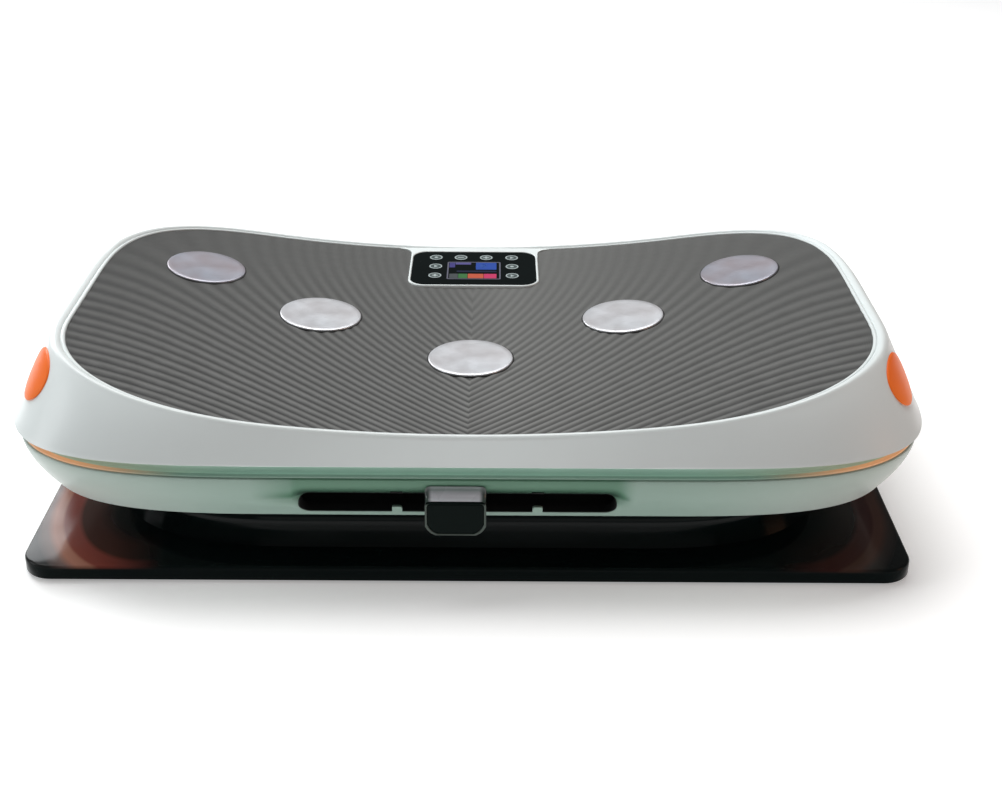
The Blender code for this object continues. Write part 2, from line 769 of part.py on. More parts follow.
def lower_shell(axis):
    def wall(share, inset):
        out = [top + (low - top) * share**1.5 - inset for top, low in zip(LEDGE_OUT, LIP_OUT)]
        return ring(out, LEDGE_Z - 2 * MM + (LIP_Z - LEDGE_Z + 2 * MM) * share, SHELL_SQUARE)

    def level(out, inset, height):
        return ring([value - inset for value in out], height, SHELL_SQUARE)

    shares = (0.0, 0.25, 0.5, 0.75, 1.0)
    floor = UNDERSIDE_Z + 2.6 * MM
    outside = [level(COLLAR_OUT, 0.0, COLLAR_TOP_Z), level(COLLAR_OUT, 0.0, LEDGE_Z)]
    outside.append(level(LEDGE_OUT, 1.5 * MM, LEDGE_Z))
    outside += [wall(share, 0.0) for share in shares]
    outside += [level(LIP_OUT, 3 * MM, UNDERSIDE_Z), level(UNDERSIDE_IN, 0.0, UNDERSIDE_Z)]
    inside = [level(UNDERSIDE_IN, 0.0, floor), level(LIP_OUT, 5 * MM, floor)]
    inside += [wall(share, WALL) for share in reversed(shares[1:-1])]
    inside += [level(COLLAR_OUT, WALL, LEDGE_Z - 4 * MM), level(COLLAR_OUT, WALL, COLLAR_TOP_Z)]
    shell = add("lower_shell", loft_mesh(outside + inside, hollow=True), pale_shell(), axis)
    cut(shell, "slot", slot_mesh())


def slot_mesh():
    """The stadium-shaped slot, less the two hooks on its sill and with a notch over each hook."""
    radius = (SLOT_Z[1] - SLOT_Z[0]) / 2
    middle = (SLOT_Z[0] + SLOT_Z[1]) / 2
    outline = arc(radius, (SLOT_X[1] - radius, middle), -90, 90, 10)
    for x in reversed(HOOK_X):
        half = HOOK_WIDE / 2 + 1 * MM
        notch = SLOT_Z[1] + 3.5 * MM
        outline += [(x + half, SLOT_Z[1]), (x + half, notch), (x - half, notch), (x - half, SLOT_Z[1])]
    outline += arc(radius, (SLOT_X[0] + radius, middle), 90, 270, 10)
    for x in HOOK_X:
        half = HOOK_WIDE / 2
        top = SLOT_Z[0] + HOOK_TALL
        outline += [(x - half, SLOT_Z[0]), (x - half, top), (x + half, top), (x + half, SLOT_Z[0])]
    return flat_mesh([outline], -240 * MM, -205 * MM, "XZ")


def slot_liner(axis):
    """The black tray behind the slot, open at the front."""
    wall = 1.6 * MM
    low = (SLOT_X[0] - 4 * MM, -201.5 * MM, UNDERSIDE_Z + 3.2 * MM)
    high = (SLOT_X[1] + 4 * MM, -176 * MM, SLOT_Z[1] + 7 * MM)
    tray = add("slot_liner", box_mesh(low, high), black_plastic(), axis)
    inner_low = [value + wall for value in low]
    inner_low[1] = low[1] - 5 * MM
    inner_high = [value - wall for value in high]
    cut(tray, "liner", box_mesh(inner_low, inner_high))


def light_ring(axis):
    """The translucent light strip lying on the ledge near its outer edge."""
    inner = [value + 5.8 * MM for value in COLLAR_OUT]
    outer = [value + 9.8 * MM for value in COLLAR_OUT]
    low, high = LEDGE_Z + GAP, LEDGE_Z + 1.6 * MM
    corners = ((inner, low), (inner, high), (outer, high), (outer, low))
    rings = [ring(out, height, SHELL_SQUARE) for out, height in corners]
    add("light_ring", loft_mesh(rings, hollow=True), look("light_ring", (0.8, 0.6, 0.4), 0.4), axis)


def pedestal_cover(axis):
    def shoulder(share, inset):
        swing, fall = math.sin(share * math.pi / 2), 1 - math.cos(share * math.pi / 2)
        out = [wide + (neck - wide) * fall - inset for wide, neck in zip(PEDESTAL_OUT, PEDESTAL_NECK)]
        return ring(out, PEDESTAL_BEND_Z + (PEDESTAL_TOP_Z - PEDESTAL_BEND_Z) * swing)

    shares = (0.0, 0.3, 0.6, 0.85, 1.0)
    low = SLAB_TOP_Z + GAP
    foot = [value + 2 * MM for value in PEDESTAL_OUT]
    outside = [ring(foot, low)] + [shoulder(share, 0.0) for share in shares]
    inside = [shoulder(share, WALL) for share in reversed(shares)]
    inside.append(ring([value - WALL for value in PEDESTAL_OUT], low))
    cover = add("pedestal_cover", loft_mesh(outside + inside, hollow=True), gloss_black(), axis)
    room = 0.6 * MM
    low_corner = (INLET_X[0] - room, 175 * MM, INLET_Z[0] - 5 * MM)
    high_corner = (INLET_X[1] + room, 210 * MM, INLET_Z[1] + room)
    cut(cover, "inlet", box_mesh(low_corner, high_corner))


def slab_ring(inset, height):
    return ring((-inset, -inset), height, 0.0, SLAB_PLAN)


def base_slab(axis):
    """The glossy tray that the pedestal stands on, open below and in the middle."""
    edge = 2.2 * MM
    inside = PEDESTAL_OUT[0] - 8 * MM, PEDESTAL_OUT[1] - 8 * MM
    under = SLAB_TOP_Z - SLAB_WALL
    rings = [
        slab_ring(0.0, FOOT_DROP),
        slab_ring(0.0, SLAB_TOP_Z - edge),
        slab_ring(edge * 0.3, SLAB_TOP_Z - edge * 0.3),
        slab_ring(edge, SLAB_TOP_Z),
        ring(inside, SLAB_TOP_Z),
        ring(inside, under),
        slab_ring(SLAB_WALL, under),
        slab_ring(SLAB_WALL, FOOT_DROP),
    ]
    add("base_slab", loft_mesh(rings, hollow=True), gloss_black(), axis)


def foot_places():
    return [(x, y) for y in (-FOOT_AT[1], FOOT_AT[1]) for x in (-FOOT_AT[0], FOOT_AT[0])]


def base_plate_and_feet(axis):
    inset = SLAB_WALL + 0.5 * MM
    rings = [slab_ring(inset, FOOT_DROP), slab_ring(inset, BASE_TOP_Z)]
    plate = add("base_plate", loft_mesh(rings), steel(), axis)
    stem = 5 * MM
    for index, place in enumerate(foot_places()):
        hole = cylinder_mesh(stem + GAP, FOOT_DROP - 3 * MM, BASE_TOP_Z + 3 * MM, place, "Z", 24)
        cut(plate, f"foot_{index + 1}", hole)
        profile = [
            (0, 0),
            (FOOT_RADIUS - 2 * MM, 0),
            (FOOT_RADIUS, 1 * MM),
            (FOOT_RADIUS - 1 * MM, FOOT_DROP - GAP),
            (stem, FOOT_DROP - GAP),
            (stem, BASE_TOP_Z + 3 * MM),
            (0, BASE_TOP_Z + 3 * MM),
        ]
        add(f"rubber_foot_{index + 1}", turned_mesh(profile, place, "Z", 20), rubber(0.02), axis)


def power_inlet(axis):
    """The mains socket and the frame of its switch, in one moulded block set in the rear wall."""
    low = (INLET_X[0], INLET_Y[0], INLET_Z[0])
    high = (INLET_X[1], INLET_Y[1], INLET_Z[1])
    block = add("power_inlet", box_mesh(low, high, 0.8 * MM), black_plastic(), axis)
    middle = (INLET_Z[0] + INLET_Z[1]) / 2
    def mouth(inset):
        half_x, half_z, slant = 12 * MM - inset, 8 * MM - inset, 4 * MM
        return [
            (SOCKET_X - half_x, middle - half_z),
            (SOCKET_X + half_x, middle - half_z),
            (SOCKET_X + half_x, middle + half_z - slant),
            (SOCKET_X + half_x - slant, middle + half_z),
            (SOCKET_X - half_x + slant, middle + half_z),
            (SOCKET_X - half_x, middle + half_z - slant),
        ]

    blades = [
        rounded_rectangle(
            (SOCKET_X + shift - 1 * MM, middle + drop - 2 * MM),
            (SOCKET_X + shift + 1 * MM, middle + drop + 2 * MM),
            0.4 * MM,
            1,
        )
        for shift, drop in ((-7 * MM, -1 * MM), (0.0, 2 * MM), (7 * MM, -1 * MM))
    ]
    blade_tip = INLET_Y[1] - 6 * MM
    cut(block, "socket_front", flat_mesh([mouth(0.0)], blade_tip, INLET_Y[1] + 3 * MM, "XZ"))
    deep = flat_mesh([mouth(0.3 * MM)] + blades, INLET_Y[1] - 17 * MM, blade_tip + 1 * MM, "XZ")
    cut(block, "socket_back", deep)
    window = box_mesh(
        (SWITCH_X - 10.5 * MM, INLET_Y[1] - 14 * MM, middle - 7 * MM),
        (SWITCH_X + 10.5 * MM, INLET_Y[1] + 3 * MM, middle + 7 * MM),
    )
    cut(block, "switch_window", window)


def switch_pivot():
    return (SWITCH_X, INLET_Y[1] - 5 * MM, (INLET_Z[0] + INLET_Z[1]) / 2)


def power_switch(axis):
    """The rocker, drawn level about its pivot; its tilted empty holds it in the off position."""
    x, y, z = switch_pivot()
    half, front = 9.3 * MM, 5.4 * MM
    outline = [(x - half, y + front), (x - half * 0.8, y - 4 * MM), (x + half * 0.8, y - 4 * MM)]
    outline += [(x + half, y + front), (x, y + front - 1.6 * MM)]
    red = look("switch_red", (0.4, 0.02, 0.02), 0.4)
    add("power_switch", flat_mesh([outline], z - 6.3 * MM, z + 6.3 * MM), red, axis)


def electronics(axis):
    floor = BASE_TOP_Z + GAP
    tray = box_mesh((-262 * MM, -68 * MM, floor), (-98 * MM, 68 * MM, floor + 7 * MM), 1 * MM)
    add("board_tray", tray, black_plastic(), axis)
    board_top = floor + 9 * MM
    board = box_mesh((-256 * MM, -63 * MM, floor + 7.4 * MM), (-104 * MM, 63 * MM, board_top))
    add("control_board", board, board_green(), axis)
    low, wide, fins = board_top + GAP, 50 * MM, 6
    outline = [(-240 * MM, low), (-240 * MM + wide, low)]
    pitch = wide / (2 * fins - 1)
    for i in range(fins):
        right = -240 * MM + wide - 2 * i * pitch
        outline += [(right, low + 22 * MM), (right - pitch, low + 22 * MM)]
        if i < fins - 1:
            outline += [(right - pitch, low + 4 * MM), (right - 2 * pitch, low + 4 * MM)]
    add("heat_sink", flat_mesh([outline], -55 * MM, 5 * MM, "XZ"), aluminium(), axis)
    core = box_mesh((-240 * MM, 22 * MM, low), (-196 * MM, 60 * MM, low + 34 * MM), 2 * MM)
    add("transformer", core, look("cast_iron", (0.12, 0.13, 0.14), 0.6, 0.6), axis)
    can = cylinder_mesh(11 * MM, low, low + 34 * MM, (-150 * MM, 35 * MM), "Z", 24)
    add("mains_capacitor", can, look("capacitor_blue", (0.03, 0.06, 0.2), 0.4), axis)


def housing(axis):
    lower_shell(axis)
    slot_liner(axis)
    light_ring(axis)
    pedestal_cover(axis)
    base_slab(axis)
    base_plate_and_feet(axis)
    for name, side in (("pivot_stand_front", -1), ("pivot_stand_rear", 1)):
        bearing_stand(name, PIVOT, PIVOT_RADIUS + GAP, 24 * MM, 44 * MM, side * STAND_Y, 20 * MM, axis)
    for name, side in (("crank_bearing_front", -1), ("crank_bearing_rear", 1)):
        bearing_stand(name, CRANK, CRANK_RADIUS + GAP, 19 * MM, 30 * MM, side * 34 * MM, 14 * MM, axis)
    drive_motor(axis)
    drive_belt(axis)
    buffers(axis)
    electronics(axis)
    power_inlet(axis)


# --- Remote control -----------------------------------------------------------------


def remote_outline(inset, top):
    """Front view of the remote: small round corners above, wide cut corners below."""
    left, right = REMOTE_X - REMOTE_HALF + inset, REMOTE_X + REMOTE_HALF - inset
    low, high = REMOTE_Z[0] + inset, top - inset
    small, wide = 4 * MM, 8 * MM
    outline = [(left + wide, low), (right - wide, low), (right - 2 * MM, low + 5 * MM), (right, low + wide)]
    outline += arc(small, (right - small, high - small), 0, 90, 4)
    outline += arc(small, (left + small, high - small), 90, 180, 4)
    outline += [(left, low + wide), (left + 2 * MM, low + 5 * MM)]
    return outline


def remote(axis):
    """The remote control: a case with a sloped hood, and a tongue that rests in the slot."""
    front, back = REMOTE_Y
    top = REMOTE_Z[1]
    case = flat_mesh([remote_outline(0.0, REMOTE_HOOD_Z)], front + 2 * MM, back, "XZ")
    body = add("remote_case", case, gloss_black(), axis)
    slope = [(front - 1 * MM, top), (front + 2 * MM, top), (back + 1 * MM, REMOTE_HOOD_Z + 1 * MM)]
    slope += [(back + 1 * MM, REMOTE_HOOD_Z + 9 * MM), (front - 1 * MM, REMOTE_HOOD_Z + 9 * MM)]
    reach = REMOTE_HALF + 3 * MM
    cut(body, "hood", flat_mesh([slope], REMOTE_X - reach, REMOTE_X + reach, "YZ"))
    low = (REMOTE_X - 15 * MM, back - 2 * MM, SLOT_Z[0] + 4 * MM)
    high = (REMOTE_X + 15 * MM, -200 * MM, SLOT_Z[1] - 5 * MM)
    join(body, "tongue", box_mesh(low, high))
    frame = [remote_outline(0.0, top), remote_outline(1.6 * MM, top)]
    rim = flat_mesh(frame, front, front + 1.7 * MM, "XZ")
    add("remote_rim", rim, look("bronze", (0.3, 0.26, 0.22), 0.3, 1.0), axis)
    face = flat_mesh([remote_outline(1.9 * MM, top)], front + 0.3 * MM, front + 1.7 * MM, "XZ")
    add("remote_face", face, gloss_black(), axis)


# --- Assembly -----------------------------------------------------------------------

clear_scene()
PARTS = bpy.data.collections.new("vibration_plate")
HELPERS = bpy.data.collections.new("cutters")
bpy.context.scene.collection.children.link(PARTS)
bpy.context.scene.collection.children.link(HELPERS)
MACHINE = empty("machine", (0, PLAN_SHIFT_Y, 0))

platform(empty("platform_axis", (PIVOT[0], 0, PIVOT[1]), MACHINE))
crank(empty("crank_axis", (CRANK[0], 0, CRANK[1]), MACHINE))
motor_rotor(empty("motor_axis", (MOTOR[0], 0, MOTOR[1]), MACHINE))
connecting_rod(empty("rod_axis", (ROD_X, 0, CRANK[1]), MACHINE))
housing(MACHINE)
power_switch(empty("switch_axis", switch_pivot(), MACHINE, (0, 0, math.radians(SWITCH_TILT))))
remote(empty("remote_axis", (REMOTE_X, REMOTE_Y[0], REMOTE_Z[0]), MACHINE))
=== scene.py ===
"""Looks of the vibration plate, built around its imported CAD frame. Metres, +Z up, +Y away from the user.

Outlines are drawn in the machine's own plan, where Y = 0 is the middle of the base, and moved by SHIFT
into the frame. Each visible piece rides on a body, and most stand for the CAD node of the same name.
"""

import json
import math
from collections import namedtuple

import bmesh
import bpy
import numpy as np
from mathutils import Matrix, Vector


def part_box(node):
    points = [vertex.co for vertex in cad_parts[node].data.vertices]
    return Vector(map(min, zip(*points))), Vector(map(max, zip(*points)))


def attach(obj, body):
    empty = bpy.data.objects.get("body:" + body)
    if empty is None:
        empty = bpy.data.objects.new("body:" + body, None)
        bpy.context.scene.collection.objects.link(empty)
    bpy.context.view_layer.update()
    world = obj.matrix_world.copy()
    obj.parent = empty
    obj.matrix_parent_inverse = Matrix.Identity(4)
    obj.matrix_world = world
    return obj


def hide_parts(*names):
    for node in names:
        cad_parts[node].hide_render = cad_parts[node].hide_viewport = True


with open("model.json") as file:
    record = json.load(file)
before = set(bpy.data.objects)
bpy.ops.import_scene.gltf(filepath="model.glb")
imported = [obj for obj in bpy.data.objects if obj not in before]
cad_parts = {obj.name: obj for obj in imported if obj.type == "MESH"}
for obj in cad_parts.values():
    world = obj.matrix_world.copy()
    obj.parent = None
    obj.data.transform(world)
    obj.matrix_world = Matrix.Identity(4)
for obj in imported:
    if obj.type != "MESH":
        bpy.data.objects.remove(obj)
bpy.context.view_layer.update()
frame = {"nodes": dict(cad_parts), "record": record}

MM = 0.001
SLAB_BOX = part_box("base_slab")
SHIFT = (SLAB_BOX[0].y + SLAB_BOX[1].y) / 2

# Plan, as in the CAD: superellipse corners, with Y reach signed.
Corner = namedtuple("Corner", "x y reach_x reach_y power")
MAT_FRONT = Corner(139 * MM, -60 * MM, 202 * MM, -143 * MM, 2.5)
MAT_REAR = Corner(190 * MM, 32 * MM, 151 * MM, 171 * MM, 2.9)
SLAB_FRONT = Corner(338 * MM, -198 * MM, 25 * MM, -25 * MM, 2.0)
SLAB_REAR = Corner(338 * MM, 198 * MM, 25 * MM, 25 * MM, 2.0)
MAT_PLAN = (MAT_FRONT, MAT_REAR)
SLAB_PLAN = (SLAB_FRONT, SLAB_REAR)
REAR_LEAD = 2.0
HALF_MAT = MAT_FRONT.x + MAT_FRONT.reach_x
DECK_RADIUS = 1518 * MM
DECK_LOW = 126 * MM
WALL = 3 * MM

# Platform shell.
BEAD_OUT = (13 * MM, 8 * MM)
SKIRT_OUT = (39 * MM, 24.5 * MM)
SKIRT_SQUARE = 1.2
SKIRT_EDGE_Z = 110 * MM
# Rim profile: share of the way across, and height over the deck. A fine groove parts the two bands.
RIM = (
    (0.0, -3.0), (0.015, -0.6), (0.03, 0.35), (0.07, 0.85), (0.13, 1.05), (0.2, 1.0), (0.245, 0.7),
    (0.27, 0.2), (0.29, 0.15), (0.315, 0.75), (0.37, 1.55), (0.45, 2.15), (0.55, 2.5), (0.65, 2.55),
    (0.75, 2.3), (0.84, 1.75), (0.92, 1.0), (0.97, 0.45), (1.0, 0.1),
)
# Side lamps: their middle and half width as angles round the end, their run down the skirt as shares, and
# their dome as share of the way out and height over the skirt.
LAMP_ANGLE = 70.0
LAMP_SPREAD = 10.5
LAMP_DROP = (0.06, 0.66)
LAMP_DOME = (
    (1.0, 0.1), (1.0, 0.9), (0.985, 1.3), (0.96, 1.6), (0.92, 1.8), (0.8, 2.0), (0.6, 2.1), (0.4, 2.15),
    (0.2, 2.2),
)

# Housing. Each _OUT is growth past the mat's outline, to the sides and to the front and rear.
LEDGE_OUT = (38 * MM, 24.5 * MM)
LEDGE_Z = 99 * MM
WALL_TOP_Z = LEDGE_Z - 2 * MM
COLLAR_OUT = (27 * MM, 13 * MM)
COLLAR_TOP_Z = 111 * MM
LIP_OUT = (19 * MM, 6 * MM)
LIP_Z = 57.5 * MM
SHELL_SQUARE = 0.8
UNDERSIDE_Z = 55.5 * MM
UNDERSIDE_IN = (-57 * MM, -34 * MM)
PEDESTAL_OUT = (-36 * MM, -13 * MM)
PEDESTAL_NECK = (-54 * MM, -31 * MM)
PEDESTAL_BEND_Z = 34 * MM
PEDESTAL_TOP_Z = 52 * MM
INLET_CUT_Y = (175 * MM, 210 * MM)
SLAB_TOP_Z = 15 * MM
SLAB_WALL = 3.5 * MM
FOOT_DROP = 2.5 * MM
SLOT_X = (-134.7 * MM, 119.0 * MM)
SLOT_Z = (61 * MM, 80 * MM)
SLOT_RADIUS = (SLOT_Z[1] - SLOT_Z[0]) / 2
SLOT_MIDDLE = (SLOT_Z[1] + SLOT_Z[0]) / 2
SLOT_ROUND_X = (SLOT_X[0] + SLOT_RADIUS, SLOT_X[1] - SLOT_RADIUS)
SLOT_CUT_Y = (-245 * MM, -205 * MM)
HOOK_X = (-56.2 * MM, 55.9 * MM)
HOOK_WIDE = 8 * MM
HOOK_TALL = 7 * MM
NOTCH_TALL = 6 * MM
# The hollow round the slot's upper half: its depth, and how far it reaches past the slot.
SCOOP = 8 * MM
SCOOP_WIDE = 13 * MM

# Discs, panel and remote.
DISC_RADIUS = 36.9 * MM
DISC_RISE = 1.6 * MM
DISC_DEPTH = 2.3 * MM
# A disc's dome: share of the radius and height over the rim. Its black ring, which paints the shadow at its
# foot: width past the disc and height.
DISC_DOME = ((0.35, 0.3), (0.7, 0.12), (0.88, 0.0))
DISC_SHADE_RING = ((0.15, -2.3), (0.15, 0.7), (1.1, 0.35), (1.3, -2.3))
DISC_PLACES = ((0.0, -60 * MM), (138.5 * MM, 19.3 * MM), (255.2 * MM, 96.1 * MM))
PANEL_HALF = 64 * MM
PANEL_Y = (102 * MM, 196 * MM)
PANEL_CORNER = 17 * MM
PANEL_Z = (124.6 * MM, 128.8 * MM)
BEZEL = 2.3 * MM
# The bezel's section: insets from its outer and its inner edge, and drops from its top.
BEZEL_OUTER = ((0.0, 1.1), (0.25, 0.5), (0.7, 0.12), (1.2, 0.0))
BEZEL_INNER = ((-0.9, 0.0), (-0.4, 0.2), (-0.1, 0.7), (0.0, 1.4))
REMOTE_X = -9 * MM
REMOTE_HALF = 24 * MM
REMOTE_Z = (55 * MM, 85 * MM)
REMOTE_HOOD_Z = 94 * MM
REMOTE_Y = (-238 * MM, -227.6 * MM)
REMOTE_TONGUE_Y = -200 * MM
# Sections of the remote's rim and face: inset from its outline, and depth behind its front.
REMOTE_RIM = ((0.0, 1.7), (0.0, 0.5), (0.35, 0.1), (0.8, 0.0), (1.25, 0.1), (1.6, 0.5), (1.6, 1.7))
REMOTE_FACE = ((1.7, 1.7), (1.7, 0.9), (2.0, 0.6), (3.0, 0.42), (4.5, 0.3), (6.5, 0.22))

# Touch marks: Y of each row and X of its marks, in millimetres. The screen's corners, and its border's width.
MARK_ROWS = ((178.0, (-38.5, -13.5, 12.0, 37.7)), (153.7, (-38.2, 37.9)), (129.2, (-38.2, 37.9)))
SCREEN = ((-26.5 * MM, 119.5 * MM), (26.5 * MM, 165.5 * MM))
SCREEN_BORDER = 1.4 * MM
# The screen's picture: name, low and high corners in millimetres, colour.
SCREEN_BLOCKS = (
    ("screen_block_blue", (1.9, 145), (22.4, 163.5), (0.03, 0.075, 0.34)),
    ("screen_block_pale", (6.5, 150), (12.5, 159), (0.1, 0.2, 0.55)),
    ("screen_block_lilac", (-18.5, 158.5), (-3, 163.5), (0.1, 0.09, 0.26)),
    ("screen_block_violet", (-24.5, 150.5), (-18.9, 163.5), (0.06, 0.055, 0.2)),
    ("screen_block_dim", (-17, 138), (22.4, 142), (0.016, 0.02, 0.045)),
    ("screen_bar_grey", (-24, 122), (-15.6, 133.5), (0.07, 0.08, 0.085)),
    ("screen_bar_green", (-15.2, 122), (-6.2, 133.5), (0.05, 0.16, 0.055)),
    ("screen_bar_orange", (-5.8, 122), (9.6, 133.5), (0.5, 0.1, 0.055)),
    ("screen_bar_pink", (10, 122), (22.4, 133.5), (0.52, 0.045, 0.13)),
)

# Ribs of the mat: level lines of a saddle, in cycles, with X and Y in decimetres and X mirrored to the left.
RIB_WAVES = (
    (11.55, 1, 0), (5.99, 0, 1), (0.99, 2, 0), (0.34, 1, 1), (-1.42, 0, 2), (-0.11, 1, 2), (-0.135, 3, 0),
)
DECIMETRE = 0.1
# The ribs grow shallower, and their painted shade in the grooves and painted light on the tops fainter, away
# from
# the user: Y where that starts and ends, depth, and the contrast of that painted shade and light, which is
# lower over the right half by RIB_RIGHT.
RIB_FADE = (-160 * MM, 135 * MM)
RIB_DEPTH = (1.0 * MM, 0.2 * MM)
RIB_PAINTED_CONTRAST = (0.8, 0.06)
RIB_RIGHT = 0.72
# The mat's grid: its step, and the length of each end where its columns crowd. Then its grey along X, which
# is
# painted light: painted shade over the left and painted light just right of the middle.
MAT_STEP = 1.25 * MM
MAT_END = 12 * MM
MAT_PAINTED_LIGHT = ((-0.34, 0.046), (-0.2, 0.063), (-0.03, 0.078), (0.03, 0.108), (0.15, 0.086), (0.34, 0.066))

# Noise lies mostly between these values. A stretch draws it out along an axis where it is below 1, and
# squeezes it where it is above 1.
NOISE_SPREAD = (0.3, 0.7)
EVEN = (1.0, 1.0, 1.0)
SMEARED = (1.0, 3.0, 1.0)
COAT_ROUGHNESS = 0.05
RANGE_SOCKETS = ("From Min", "From Max", "To Min", "To Max")

# Painted reflection of the orange lights in the base's gloss: dark red bands. Their corner curve, along each
# axis:
# the machine's middle, where the curve starts from it, and its size. Then the painted reflection's colour
# across it, and how it fades to the right and the rear.
GLOW_REFLECTION_CORNER = (("X", 0.0, 0.267, 0.081), ("Y", SHIFT, 0.12, 0.115))
GLOW_REFLECTIONS = (
    (0.45, (0.003, 0.005, 0.005)), (0.62, (0.042, 0.014, 0.01)), (0.79, (0.05, 0.017, 0.012)),
    (0.84, (0.2, 0.045, 0.033)), (0.97, (0.21, 0.048, 0.034)), (1.0, (0.33, 0.135, 0.09)),
    (1.07, (0.33, 0.14, 0.095)), (1.14, (0.14, 0.09, 0.08)), (1.25, (0.02, 0.02, 0.02)),
)
GLOW_REFLECTION_RIGHT = 0.22
GLOW_REFLECTION_ENDS = (0.245, 0.3)
GLOW_REFLECTION_REACH = 1.5
GLOW_REFLECTION_FADE = (0.0, 0.16)
GLOW_REFLECTION_REAR = 0.25

# Studio light: the world grows from the first strength to the second as its direction rises between these
# heights. Lamps: name, place, target, size, power and colour.
WORLD_GLOW = (0.12, 0.2)
WORLD_RISE = (0.1, 0.85)
STUDIO_LAMPS = (
    ("overhead", (-0.35, 1.0, 2.5), (0, 0.05, 0.1), (2.6, 1.6), 80.0, (1.0, 1.0, 1.0)),
    ("window", (-1.5, 1.5, 1.0), (-0.2, 0, 0.1), (1.0, 0.9), 22.0, (0.95, 0.98, 1.0)),
    ("front", (0.3, -2.8, 0.55), (0, 0, 0.1), (2.6, 0.7), 2.8, (1.0, 0.98, 0.96)),
    ("left", (-2.2, -0.3, 1.0), (-0.3, 0, 0.1), (0.8, 0.8), 10.0, (0.95, 0.98, 1.0)),
    ("right", (1.8, -0.6, 0.6), (0.3, 0, 0.1), (0.6, 0.6), 3.2, (1.0, 0.5, 0.3)),
)

# Camera: its place, what it looks at, its roll in degrees and its focal length in millimetres.
CAMERA_PLACE = Vector((0.0201, -1.2410, 0.6771))
CAMERA_TARGET = Vector((0.0264, -0.1322, 0.1258))
CAMERA_ROLL = 0.49
CAMERA_LENS = 53.9


# --- Materials ----------------------------------------------------------------------


